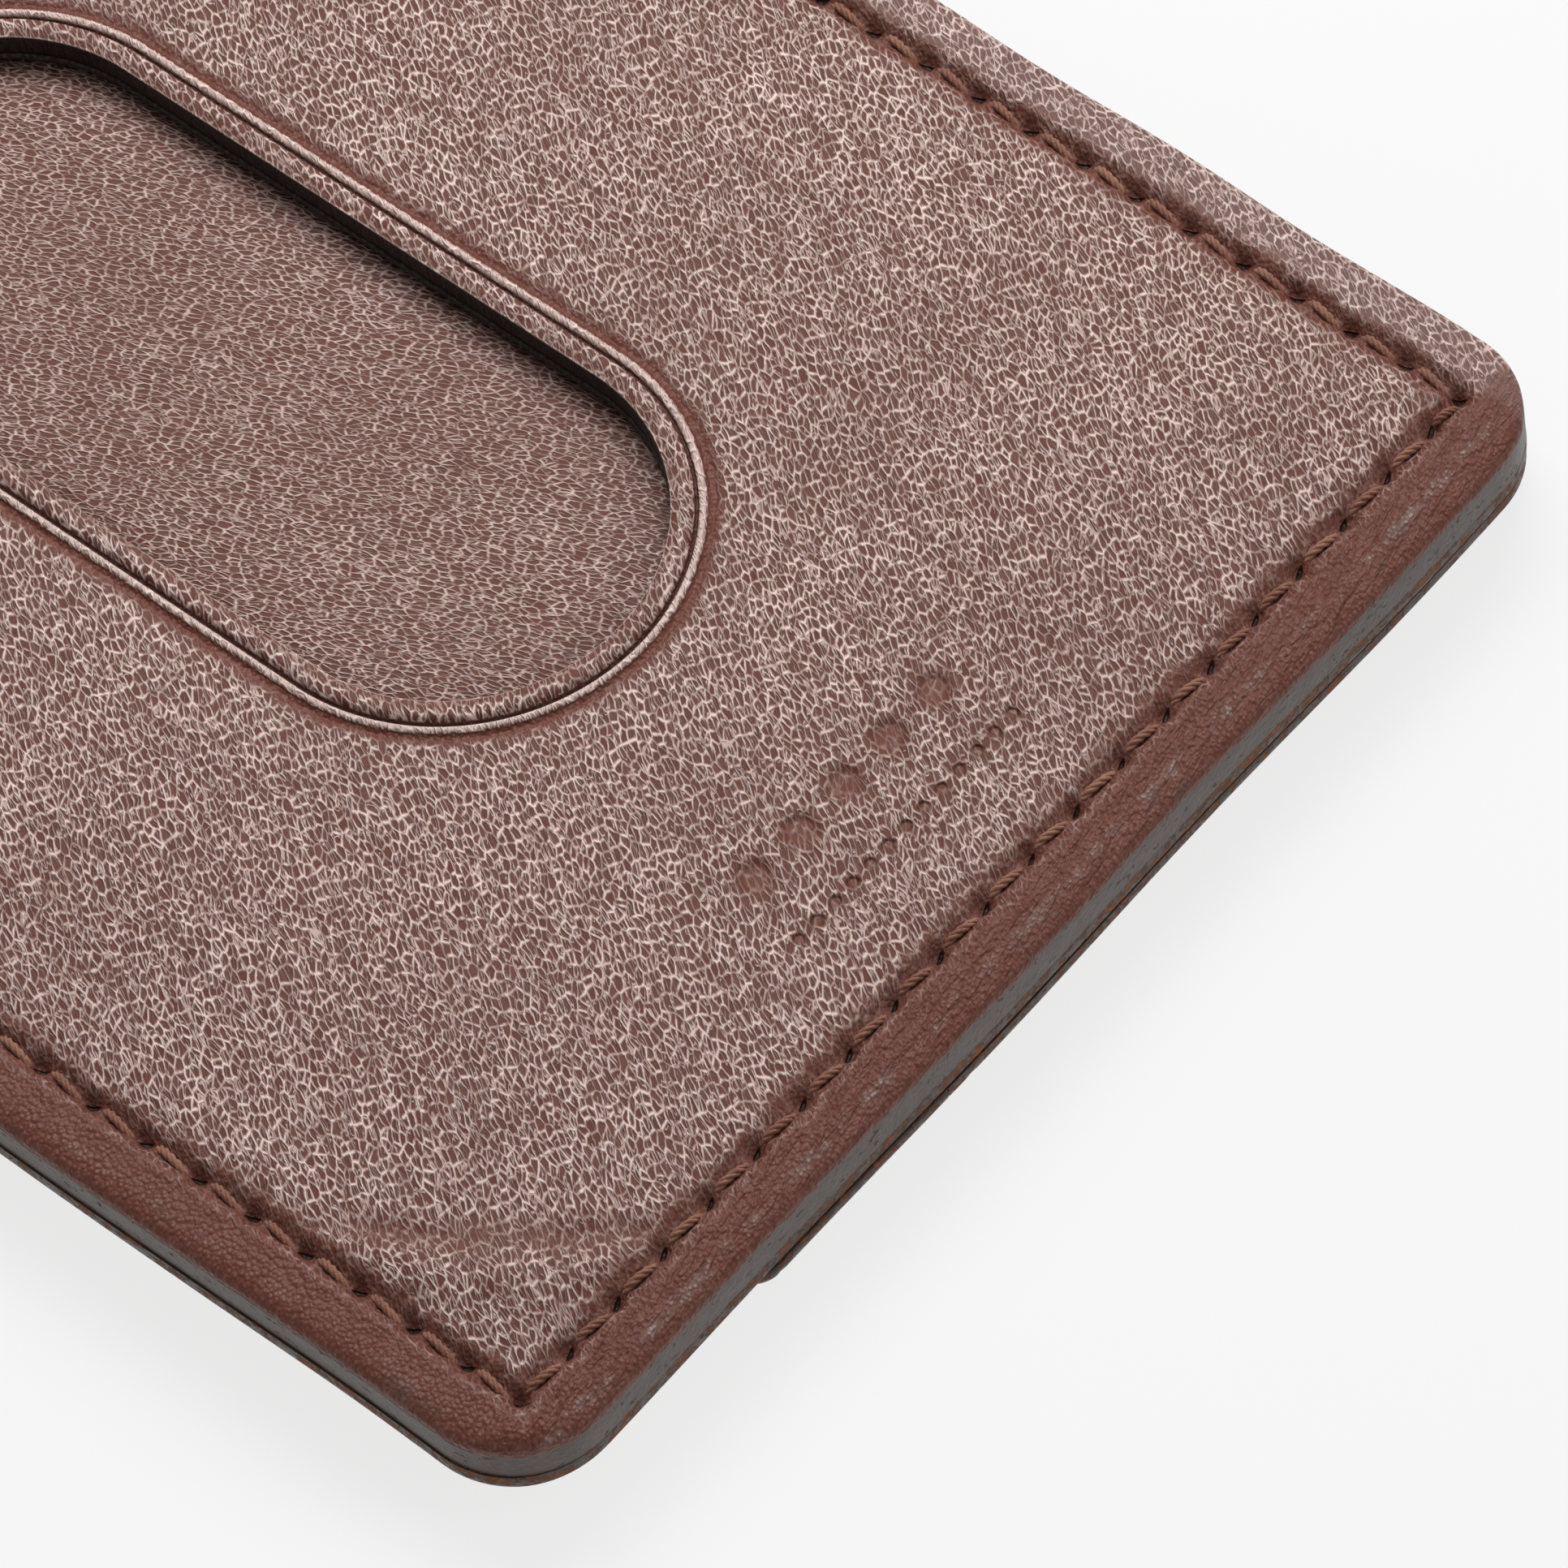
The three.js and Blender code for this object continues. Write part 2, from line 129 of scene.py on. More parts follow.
class CaseColours(bpy.types.PropertyGroup):
    # Grain ridges: their pale colour is partly the grain's own lighter tops and partly a painted sheen of the
    # back light on them
    ridge: bpy.props.FloatVectorProperty(
        name="Grain ridges", description="Polished tops of the grain",
        default=(0.90, 0.70, 0.63), subtype="COLOR", min=0, max=1)
    pore: bpy.props.FloatVectorProperty(
        name="Grain pores", description="Dye that stays in the pores of the grain",
        default=(0.098, 0.022, 0.011), subtype="COLOR", min=0, max=1)
    smooth: bpy.props.FloatVectorProperty(
        name="Drawn leather", description="Leather pulled smooth at seams, rim and edges",
        default=(0.130, 0.036, 0.020), subtype="COLOR", min=0, max=1)
    paint: bpy.props.FloatVectorProperty(
        name="Edge paint", description="Paint on the cut edges",
        default=(0.092, 0.071, 0.057), subtype="COLOR", min=0, max=1)
    raw: bpy.props.FloatVectorProperty(
        name="Bare fibre", description="Leather fibre where the edge paint is rubbed off",
        default=(0.30, 0.115, 0.050), subtype="COLOR", min=0, max=1)
    window_edge: bpy.props.FloatVectorProperty(
        name="Window edge", description="Dark paint on the cut edge of the thumb window",
        default=(0.022, 0.014, 0.010), subtype="COLOR", min=0, max=1)
    lining: bpy.props.FloatVectorProperty(
        name="Lining", description="Thin lining and tongue",
        default=(0.085, 0.030, 0.021), subtype="COLOR", min=0, max=1)
    thread: bpy.props.FloatVectorProperty(
        name="Thread", description="Waxed sewing thread",
        default=(0.275, 0.098, 0.052), subtype="COLOR", min=0, max=1)
    floor: bpy.props.FloatVectorProperty(
        name="Floor", description="Pale studio floor",
        default=(0.16, 0.16, 0.16), subtype="COLOR", min=0, max=1)


class CaseSettings(bpy.types.PropertyGroup):
    sizes: bpy.props.PointerProperty(type=CaseSizes)
    colours: bpy.props.PointerProperty(type=CaseColours)


# ---- smooth steps and gentle noise
def smoothstep(low, high, value):
    t = np.clip((value - low) / (high - low), 0.0, 1.0)
    return t * t * (3.0 - 2.0 * t)


def dome(distance, width):
    return np.exp(-(distance / width) ** 2)


def ripple(x, y, waves, seed):
    """A sum of slow waves in mixed directions, between about -1 and 1."""
    rng = np.random.default_rng(seed)
    total = np.zeros_like(x)
    for _ in range(waves):
        angle = rng.uniform(0, 2 * math.pi)
        length = rng.uniform(0.6, 1.6)
        phase = rng.uniform(0, 2 * math.pi)
        total += np.sin((x * math.cos(angle) + y * math.sin(angle)) / length + phase)
    return total / math.sqrt(waves * 2.0)


def inside_seam(x, y):
    """Distance in from the three-sided seam; negative out on the margin. Its corners are eased."""
    ease = 1.2
    a = SEAM_X - x
    b = SEAM_Y - np.abs(y)
    overlap = np.maximum(ease - np.abs(a - b), 0.0) / ease
    return np.minimum(a, b) - overlap * overlap * ease * 0.25


def window_distance(x, y):
    """Distance out from the edge of the thumb window."""
    return np.hypot(x - np.clip(x, -WINDOW_HALF, WINDOW_HALF), y) - WINDOW_R


# ---- seam lines: lists of needle holes (x, y, z)
def hole_run(start, end, pitch=PITCH):
    """Holes every pitch from start towards end; a shorter stitch closes the run."""
    start = np.array(start, float)
    end = np.array(end, float)
    length = np.linalg.norm(end - start)
    count = max(int(length / pitch + 0.3), 1)
    steps = [start + (end - start) * (k * pitch / length) for k in range(count + 1)]
    if length - count * pitch > 0.3 * pitch:
        steps.append(end)
    return steps


def three_sided_holes():
    """Holes of the three-sided seam in order, from the mouth end of the -Y run round to the +Y run."""
    low = hole_run((SEAM_X, -SEAM_Y), (SEAM_START, -SEAM_Y))[::-1]
    side = hole_run((SEAM_X, -SEAM_Y), (SEAM_X, SEAM_Y))[1:]
    high = hole_run((SEAM_X, SEAM_Y), (SEAM_START, SEAM_Y))[1:]
    holes = np.array(low + side + high)
    return holes + np.random.default_rng(17).uniform(-HOLE_SCATTER, HOLE_SCATTER, holes.shape)


def mouth_holes():
    end = SEAM_Y - MOUTH_SEAM_END
    return np.array(hole_run((-SEAM_X, -end), (-SEAM_X, end)))


def stitched(x, y, holes, reach, pull):
    """Height change that stitches press into leather: furrow, puckers and a pit at each hole."""
    change = np.zeros_like(x)
    for start, end in zip(holes[:-1], holes[1:]):
        along = end - start
        length = np.linalg.norm(along)
        if length > 1.3 * PITCH:
            continue
        unit = along / length
        u = (x - start[0]) * unit[0] + (y - start[1]) * unit[1]
        v = -(x - start[0]) * unit[1] + (y - start[1]) * unit[0]
        near = (u > -reach) & (u < length + reach) & (np.abs(v) < reach)
        if not near.any():
            continue
        un = u[near]
        vn = v[near]
        within = smoothstep(-0.25, 0.25, un) * smoothstep(-0.25, 0.25, length - un)
        furrow = -1.0 * dome(vn, 0.42) * within
        middle = np.sin(np.clip(un / length, 0, 1) * math.pi)
        pucker = 0.55 * middle * dome(np.abs(vn) - 0.80, 0.40)
        change[near] += (furrow + pucker) * pull
    for hole in holes:
        r = np.hypot(x - hole[0], y - hole[1])
        change += pull * (0.42 * dome(r - 0.78, 0.26) - 0.9 * dome(r, 0.32) - 0.40 * dome(r, 1.2))
    return change


# ---- closed panels made of rings that run round the outline
SIDE_STEP = 0.34
CORNER_STEPS = 20
TIGHT = 0.6                       # smallest corner radius of an inner ring


def ring_layout(rect, step):
    """For each column: which corner it leaves, how far to the next one, and its angle on a corner arc."""
    x0, x1, y0, y1 = rect
    sides = [y1 - y0, x1 - x0, y1 - y0, x1 - x0]
    corner, part, arc = [], [], []
    for c in range(4):
        for k in range(CORNER_STEPS):
            corner.append(c)
            part.append(0.0)
            arc.append(k / CORNER_STEPS)
        count = max(int(sides[c] / step), 4)
        for k in range(count):
            corner.append(c)
            part.append(k / count)
            arc.append(1.0)
    return np.array(corner), np.array(part), np.array(arc)


def ring_at(rect, radii, layout, inset):
    """The outline drawn in by inset. Corners run from (x1, y0) to (x1, y1), (x0, y1) and (x0, y0)."""
    x0, x1, y0, y1 = rect
    corner, part, arc = layout
    signs = np.array([(1, -1), (1, 1), (-1, 1), (-1, -1)], float)
    starts = np.array([-0.5, 0.0, 0.5, 1.0]) * math.pi
    corners = np.array([(x1, y0), (x1, y1), (x0, y1), (x0, y0)], float)
    r = np.maximum(np.array(radii, float) - inset, np.minimum(TIGHT, radii))
    centres = corners - signs * (inset + r)[:, None]

    def on_arc(c, t):
        a = starts[c] + t * math.pi / 2
        return centres[c] + np.stack([np.cos(a), np.sin(a)], 1) * r[c][:, None]

    here = on_arc(corner, arc)
    ahead = on_arc((corner + 1) % 4, np.zeros_like(arc))
    return here * (1 - part)[:, None] + ahead * part[:, None]


def core_at(core, outer, offset):
    """Ring round the stadium core at an offset, each point facing its outline point."""
    cx, cy, half, r = core
    px = np.clip(outer[:, 0], cx - half, cx + half)
    away = outer - np.stack([px, np.full_like(px, cy)], 1)
    away /= np.maximum(np.linalg.norm(away, axis=1), 1e-9)[:, None]
    return np.stack([px, np.full_like(px, cy)], 1) + away * (r + offset)


def drop(d, run, rise):
    """How far a rounded edge lies below its face at distance d in from the cut."""
    t = np.clip(1.0 - d / run, 0.0, 1.0)
    return rise * (1.0 - np.sqrt(np.maximum(1.0 - t * t, 0.0)))


def panel_mesh(name, rect, radii, core, top, bottom, rows, warp=None, step=SIDE_STEP):
    """A closed shell. top and bottom give heights at (x, y, inset, offset), rows the ring spacings."""
    layout = ring_layout(rect, step)
    hole = core[3] > 0
    rim = rows["rim"]
    edge_rows = rows["edge"]
    inner_inset = edge_rows[-1]
    outer_ring = ring_at(rect, radii, layout, inner_inset)
    inner_ring = core_at(core, outer_ring, rim[-1])
    rings = []

    def add(points, height, inset, offset, push=0.0):
        x, y = points[:, 0], points[:, 1]
        z = height(x, y, inset, offset) if callable(height) else height
        if warp:
            x, y = warp(x, y, inset)
        rings.append(np.stack([x, y, np.broadcast_to(z, x.shape) + push], 1))

    far = 99.0
    # underside, from the core out to the cut edge
    for offset in rows["under_rim"]:
        add(core_at(core, outer_ring, offset), bottom, far, offset)
    for f in rows["under_mix"]:
        add(inner_ring * (1 - f) + outer_ring * f, bottom, far, far)
    for inset in rows["under_edge"]:
        add(ring_at(rect, radii, layout, inset), bottom, inset, far)
    # cut edge, swelling a little between its faces
    cut = ring_at(rect, radii, layout, 0.0)
    low = bottom(cut[:, 0], cut[:, 1], 0.0, far)
    high = top(cut[:, 0], cut[:, 1], 0.0, far)
    for f in rows["wall"]:
        swell = rows["swell"] * math.sin(math.pi * f)
        ring = ring_at(rect, radii, layout, -swell)
        rings.append(None)
        x, y = ring[:, 0], ring[:, 1]
        if warp:
            x, y = warp(x, y, 0.0)
        rings[-1] = np.stack([x, y, low + (high - low) * f], 1)
    # face, from the cut edge in to the core
    for inset in edge_rows:
        add(ring_at(rect, radii, layout, inset), top, inset, far)
    for f in rows["mix"]:
        add(outer_ring * (1 - f) + inner_ring * f, top, far, far)
    for offset in rim[::-1]:
        add(core_at(core, outer_ring, offset), top, far, offset)
    if hole:
        edge = core_at(core, outer_ring, 0.0)
        high = top(edge[:, 0], edge[:, 1], far, 0.0)
        low = bottom(edge[:, 0], edge[:, 1], far, 0.0)
        for f in rows["window_wall"]:
            rings.append(np.column_stack([edge, high + (low - high) * f]))

    grid = np.array(rings)
    count, columns = grid.shape[:2]
    index = np.arange(count * columns).reshape(count, columns)
    last = count if hole else count - 1
    k = np.arange(last)
    a = index[k]
    b = index[(k + 1) % count]
    faces = np.stack([a, np.roll(a, -1, 1), np.roll(b, -1, 1), b], -1).reshape(-1, 4)
    mesh = bpy.data.meshes.new(name)
    mesh.from_pydata((grid.reshape(-1, 3) * MM).tolist(), [], faces.tolist())
    work = bmesh.new()
    work.from_mesh(mesh)
    bmesh.ops.remove_doubles(work, verts=work.verts, dist=0.002 * MM)
    bmesh.ops.recalc_face_normals(work, faces=work.faces)
    for face in work.faces:
        face.smooth = True
    work.to_mesh(mesh)
    work.free()
    piece = bpy.data.objects.new(name, mesh)
    bpy.context.scene.collection.objects.link(piece)
    return piece


def spaced(start, end, step):
    count = max(int(round(abs(end - start) / step)), 1)
    return [start + (end - start) * k / count for k in range(count + 1)]


def shoulder_rows(run, count):
    return [run * (1 - math.cos(0.5 * math.pi * k / count)) for k in range(count + 1)]


def even_rows(steps):
    """Fractions strictly between two rings."""
    return [(k + 1) / (steps + 1) for k in range(steps)]


def finish_piece(piece, material, slot, *nodes):
    piece.data.materials.clear()
    piece.data.materials.append(material)
    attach(piece, "root")
    if nodes:
        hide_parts(*nodes)
    return piece


# ---- the faces of each panel
OUTLINE = (-HALF_LENGTH, HALF_LENGTH, -HALF_WIDTH, HALF_WIDTH)
FRONT_HOLES = three_sided_holes()
MOUTH_HOLES = mouth_holes()


def wander(x, y, inset, lean=0.4, size=0.10, seed=3):
    """Hand-cut outline: wider margin at one end of the short side, a little wave all round."""
    grip = 1.0 - smoothstep(0.2, 3.0, np.broadcast_to(inset, x.shape))
    end = smoothstep(30.0, 48.0, x)
    x2 = x + grip * end * (0.05 + lean * y / SEAM_Y)
    wave = ripple(x / 3.1, y / 3.1, 5, seed) * size * grip
    x2 = x2 + wave * smoothstep(44.0, 49.0, np.abs(x))
    y2 = y + wave * smoothstep(30.0, 35.0, np.abs(y)) * np.sign(y)
    return x2, y2


def corner_fold(x, y):
    """The fold that crosses a corner of the field, and the puff beyond it."""
    beyond = np.hypot(x - FOLD_X, y - FOLD_Y) - FOLD_R
    place = smoothstep(33.5, 36.5, x) * smoothstep(0.2, 1.8, inside_seam(x, y)) * smoothstep(-18.5, -22.5, y)
    return place * (-0.24 * dome(beyond, 0.5) + 0.32 * dome(beyond - 1.9, 1.3))


def form(x, y, start=FORM_START):
    """Rise of the formed field: a short step at the seam, then a slow swell."""
    s = inside_seam(x, y)
    return 0.42 * smoothstep(start, start + 1.5, s) + 0.58 * smoothstep(start, start + 11.0, s)


def margin_wrinkles(x, y):
    """Short slanting wrinkles on the margin of the short side."""
    out = -inside_seam(x, y)
    band = smoothstep(0.2, 0.7, out) * (1 - smoothstep(1.5, 2.3, out))
    side = smoothstep(44.0, 47.0, x) * smoothstep(34.0, 30.0, np.abs(y))
    skew = ripple((y + 2.6 * out) / 0.62, out / 1.4, 6, 11)
    patch = smoothstep(-0.3, 0.6, ripple(y / 5.0, y / 7.0, 4, 5))
    return 0.12 * skew * band * side * (0.35 + 0.65 * patch)


def rim_profile(e, rise):
    """Rolled band, crease, low ridge and second groove round the thumb window, by distance from its edge."""
    band = rise * (1 - smoothstep(0.95, 1.25,
                                  e)) * (0.55 + 0.45 * np.sin(np.clip((e - 0.2) / 1.0, 0, 1) * math.pi))
    crease = -0.24 * dome(e - 1.22, 0.12)
    ridge = 0.12 * dome(e - 1.52, 0.20)
    groove = -0.13 * dome(e - 1.98, 0.24)
    sink = -0.06 * dome(e - 2.5, 0.7)
    return band + crease + ridge + groove + sink


def front_top(sizes):
    pull = sizes.pull / MM
    rise = sizes.rim / MM

    def height(x, y, inset, offset):
        s = inside_seam(x, y)
        z = FLANGE_TOP + FORM_RISE * form(x, y)
        z = z + 0.05 * ripple(x / 7.0, y / 7.0, 6, 21) * form(x, y)
        z = z + 0.12 * dome(s + 1.3, 0.8)
        z = z + margin_wrinkles(x, y) + corner_fold(x, y)
        z = z + 0.02 * ripple(x / 0.9, y / 0.9, 7, 8) * dome(s, 2.2)
        z = z + stitched(x, y, FRONT_HOLES, 3.0, pull)
        e = window_distance(x, y)
        z = z + rim_profile(np.maximum(e, 0.0), rise)
        z = z - 0.16 * drop(np.maximum(e, 0.0), 0.22, 1.0)
        wide = np.where(np.abs(y) > SEAM_Y, 1.3, 1.5)
        return z - drop(np.broadcast_to(inset, x.shape), wide, 0.62)
    return height


def front_hollow(lift, skirt=0.0):
    """Underside of the formed leather; skirt draws its painted edge down over the layers below."""
    def height(x, y, inset, offset):
        z = FRONT_LOW[2] + lift + FORM_RISE * form(x, y, FORM_START + 0.3)
        at_edge = smoothstep(0.3, 0.1, np.broadcast_to(inset, x.shape)) * smoothstep(-49.2, -48.0, x)
        z = z - skirt * at_edge
        return z + 0.05 * ripple(x / 7.0, y / 7.0, 6, 21) * form(x, y)
    return height


def level(z, run=0.3, rise=0.12, side=1, wave=0.0, seed=1):
    """A flat face with an eased cut edge; side +1 faces up."""
    def height(x, y, inset, offset):
        eased = drop(np.broadcast_to(inset, x.shape), run, rise)
        return z + wave * ripple(x / 6.0, y / 6.0, 5, seed) - side * eased
    return height


# ---- node trees
class Nodes:
    """Small helper that adds and wires nodes in one tree."""

    def __init__(self, tree):
        self.tree = tree
        self.column = 0

    def add(self, kind, **settings):
        node = self.tree.nodes.new(kind)
        node.location = (self.column % 12 * 190, -(self.column // 12) * 260)
        self.column += 1
        for key, value in settings.items():
            setattr(node, key, value)
        return node

    def put(self, socket, value):
        if isinstance(value, bpy.types.NodeSocket):
            self.tree.links.new(value, socket)
        elif value is not None:
            socket.default_value = value

    def math(self, operation, a, b=None, c=None, clamp=False):
        node = self.add("ShaderNodeMath", operation=operation, use_clamp=clamp)
        for socket, value in zip(node.inputs, (a, b, c)):
            self.put(socket, value)
        return node.outputs[0]

    def vector(self, operation, a, b=None, scale=None, out=0):
        node = self.add("ShaderNodeVectorMath", operation=operation)
        self.put(node.inputs[0], a)
        self.put(node.inputs[1], b)
        if scale is not None:
            self.put(node.inputs["Scale"], scale)
        return node.outputs[out]

    def split(self, vector):
        node = self.add("ShaderNodeSeparateXYZ")
        self.put(node.inputs[0], vector)
        return node.outputs

    def join(self, x, y, z):
        node = self.add("ShaderNodeCombineXYZ")
        for socket, value in zip(node.inputs, (x, y, z)):
            self.put(socket, value)
        return node.outputs[0]

    def ramp(self, value, low, high, to_low=0.0, to_high=1.0, smooth=True):
        node = self.add("ShaderNodeMapRange", interpolation_type="SMOOTHSTEP" if smooth else "LINEAR")
        for socket, item in zip(node.inputs, (value, low, high, to_low, to_high)):
            self.put(socket, item)
        return node.outputs[0]

    def noise(self, vector, scale, detail=2.0, roughness=0.5, distortion=0.0, colour=False):
        node = self.add("ShaderNodeTexNoise")
        self.put(node.inputs["Vector"], vector)
        self.put(node.inputs["Scale"], scale)
        self.put(node.inputs["Detail"], detail)
        self.put(node.inputs["Roughness"], roughness)
        self.put(node.inputs["Distortion"], distortion)
        return node.outputs["Color" if colour else 0]

    def voronoi(self, vector, feature, randomness, out, dimensions="2D", smoothness=None):
        node = self.add("ShaderNodeTexVoronoi", feature=feature, voronoi_dimensions=dimensions)
        self.put(node.inputs["Vector"], vector)
        self.put(node.inputs["Scale"], 1.0)
        self.put(node.inputs["Randomness"], randomness)
        if smoothness is not None:
            self.put(node.inputs["Smoothness"], smoothness)
        return node.outputs[out]

    def mix(self, factor, a, b, blend="MIX"):
        node = self.add("ShaderNodeMix", data_type="RGBA", blend_type=blend)
        self.put(node.inputs[0], factor)
        for socket, value in ((node.inputs[6], a), (node.inputs[7], b)):
            self.put(socket, value if isinstance(value, bpy.types.NodeSocket) else (*value[:3], 1.0))
        return node.outputs[2]

    def blend(self, factor, a, b):
        node = self.add("ShaderNodeMix", data_type="FLOAT")
        self.put(node.inputs[0], factor)
        self.put(node.inputs[2], a)
        self.put(node.inputs[3], b)
        return node.outputs[0]

    def group(self, tree, **values):
        node = self.add("ShaderNodeGroup", node_tree=tree)
        for key, value in values.items():
            name = key.replace("_", " ")
            if isinstance(value, (tuple, list)) and len(value) == 3 and node.inputs[name].type == "RGBA":
                value = (*value, 1.0)
            self.put(node.inputs[name], value)
        return node.outputs


def new_group(name, inputs, outputs):
    """An empty shader group; inputs and outputs are (name, kind, default) and (name, kind)."""
    tree = bpy.data.node_groups.new(name, "ShaderNodeTree")
    for title, kind, default in inputs:
        socket = tree.interface.new_socket(name=title, in_out="INPUT", socket_type="NodeSocket" + kind)
        if default is not None:
            socket.default_value = (*default, 1.0) if kind == "Color" else default
    for title, kind in outputs:
        tree.interface.new_socket(name=title, in_out="OUTPUT", socket_type="NodeSocket" + kind)
    nodes = Nodes(tree)
    entry = nodes.add("NodeGroupInput").outputs
    leave = nodes.add("NodeGroupOutput").inputs
    return nodes, entry, leave


def places_group():
    """Distances in millimetres that the other effects follow: in from the seam, out from the window."""
    n, given, out = new_group(
        "Places on the panel",
        [("Vector", "Vector", None), ("Seam X", "Float", SEAM_X), ("Seam Y", "Float", SEAM_Y)],
        [("Seam", "Float"), ("Window", "Float"), ("Short side", "Float"), ("Cut edge", "Float"),
         ("Fold", "Float")])
    x, y, _ = n.split(given["Vector"])
    cut_x = n.math("SUBTRACT", n.math("ABSOLUTE", x), HALF_LENGTH - EDGE_R)
    cut_y = n.math("SUBTRACT", n.math("ABSOLUTE", y), HALF_WIDTH - EDGE_R)
    reach = n.join(n.math("MAXIMUM", cut_x, 0.0), n.math("MAXIMUM", cut_y, 0.0), 0.0)
    n.put(out["Cut edge"], n.math("SUBTRACT", EDGE_R, n.vector("LENGTH", reach, out=1)))
    beyond = n.vector("LENGTH", n.join(n.math("SUBTRACT", x, FOLD_X), n.math("SUBTRACT", y, FOLD_Y), 0.0),
                      out=1)
    fold = n.ramp(n.math("ABSOLUTE", n.math("SUBTRACT", beyond, FOLD_R)), 0.0, 1.5, 1.0, 0.0)
    fold = n.math("MULTIPLY", fold, n.math("MULTIPLY", n.ramp(x, 33.0, 36.0), n.ramp(y, -18.5, -22.0)))
    n.put(out["Fold"], fold)
    long_side = n.math("SUBTRACT", given["Seam Y"], n.math("ABSOLUTE", y))
    short_side = n.math("SUBTRACT", given["Seam X"], x)
    seam = n.math("SMOOTH_MIN", long_side, short_side, 1.0)
    px = n.math("MAXIMUM", n.math("SUBTRACT", n.math("ABSOLUTE", x), WINDOW_HALF), 0.0)
    window = n.math("SUBTRACT", n.vector("LENGTH", n.join(px, y, 0.0), out=1), WINDOW_R)
    for title, value in (("Seam", seam), ("Window", window), ("Short side", short_side)):
        n.put(out[title], value)
    return n.tree


def grain_group():
    """Pored leather grain: drawn-out pores in a net of ridges."""
    n, given, out = new_group(
        "Pored grain",
        [("Vector", "Vector", None), ("Length", "Float", 0.58), ("Width", "Float", 0.36),
         ("Direction", "Float", 0.0), ("Waver", "Float", 0.22), ("Ridge width", "Float", 0.19)],
        [("Ridge", "Float"), ("Tone", "Float"), ("Height", "Float")])
    turn = n.add("ShaderNodeVectorRotate", rotation_type="Z_AXIS")
    n.put(turn.inputs["Vector"], given["Vector"])
    n.put(turn.inputs["Angle"], given["Direction"])
    slow = n.vector("SUBTRACT", n.noise(given["Vector"], 0.22, 1.0, colour=True), (0.5, 0.5, 0.5))
    quick = n.vector("SUBTRACT", n.noise(given["Vector"], 1.3, 2.0, colour=True), (0.5, 0.5, 0.5))
    shift = n.vector("ADD", quick, n.vector("SCALE", slow, scale=3.0))
    bent = n.vector("ADD", turn.outputs[0], n.vector("SCALE", shift, scale=given["Waver"]))
    size = n.join(given["Length"], given["Width"], 1.0)
    cells = n.vector("DIVIDE", bent, size)
    gap = n.voronoi(cells, "DISTANCE_TO_EDGE", 0.9, "Distance")
    tone = n.split(n.voronoi(cells, "F1", 0.9, "Color"))[0]
    streak = n.noise(n.vector("MULTIPLY", cells, (0.70, 1.15, 1.0)), 1.0, 1.0, 0.5, 0.3)
    worm = n.noise(n.vector("MULTIPLY", cells, (0.42, 0.95, 1.0)), 1.25, 1.0, 0.5, 0.2)
    worm = n.ramp(n.math("ABSOLUTE", n.math("SUBTRACT", worm, 0.5)), 0.004, 0.052, 1.0, 0.0)
    reach = n.math("MULTIPLY", given["Ridge width"], n.ramp(streak, 0.32, 0.68, 0.75, 1.3, False))
    ridge = n.ramp(gap, n.math("MULTIPLY", reach, 0.10), n.math("MULTIPLY", reach, 1.2), 1.0, 0.0)
    ridge = n.math("MULTIPLY", ridge, n.ramp(streak, 0.38, 0.58, 0.35, 0.95, False))
    ridge = n.math("MAXIMUM", ridge, n.math("MULTIPLY", worm, 0.6))
    fine = n.noise(cells, 2.6, 2.0)
    n.put(out["Ridge"], ridge)
    n.put(out["Tone"], tone)
    n.put(out["Height"], n.math("ADD", ridge, n.math("MULTIPLY", fine, 0.35)))
    return n.tree


def needle_group():
    """Slanting needle slits at every stitch of the three-sided seam."""
    n, given, out = new_group(
        "Needle slits",
        [("Vector", "Vector", None), ("Pitch", "Float", PITCH), ("Slant", "Float", 0.35),
         ("Seam X", "Float", SEAM_X), ("Seam Y", "Float", SEAM_Y)],
        [("Slit", "Float"), ("Hole ring", "Float")])
    x, y, _ = n.split(given["Vector"])

    def slits(along, across, keep, lean):
        turn = n.math("DIVIDE", along, given["Pitch"])
        local = n.math("MULTIPLY", n.math("SUBTRACT", turn, n.math("ROUND", turn)), given["Pitch"])
        skewed = n.math("ADD", across, n.math("MULTIPLY", n.math("MULTIPLY", local, given["Slant"]), lean))
        reach = n.vector("LENGTH", n.join(n.math("DIVIDE", local, 0.36), n.math("DIVIDE", skewed, 0.12),
                                          0.0), out=1)
        wide = n.vector("LENGTH", n.join(n.math("DIVIDE", local, 1.0), n.math("DIVIDE", across, 0.55), 0.0),
                        out=1)
        return (n.math("MULTIPLY", n.ramp(reach, 0.55, 1.15, 1.0, 0.0), keep),
                n.math("MULTIPLY", n.ramp(wide, 0.4, 1.4, 1.0, 0.0), keep))

    run = n.math("SUBTRACT", given["Seam X"], x)
    across = n.math("SUBTRACT", n.math("ABSOLUTE", y), given["Seam Y"])
    long_slit, long_ring = slits(run, across, n.math("GREATER_THAN", run, -0.6), n.math("SIGN", y))
    side = n.math("ADD", y, given["Seam Y"])
    keep = n.math("LESS_THAN", n.math("ABSOLUTE", y), n.math("ADD", given["Seam Y"], -1.0))
    short_slit, short_ring = slits(side, run, keep, -1.0)
    n.put(out["Slit"], n.math("MAXIMUM", long_slit, short_slit))
    n.put(out["Hole ring"], n.math("MAXIMUM", long_ring, short_ring))
    return n.tree


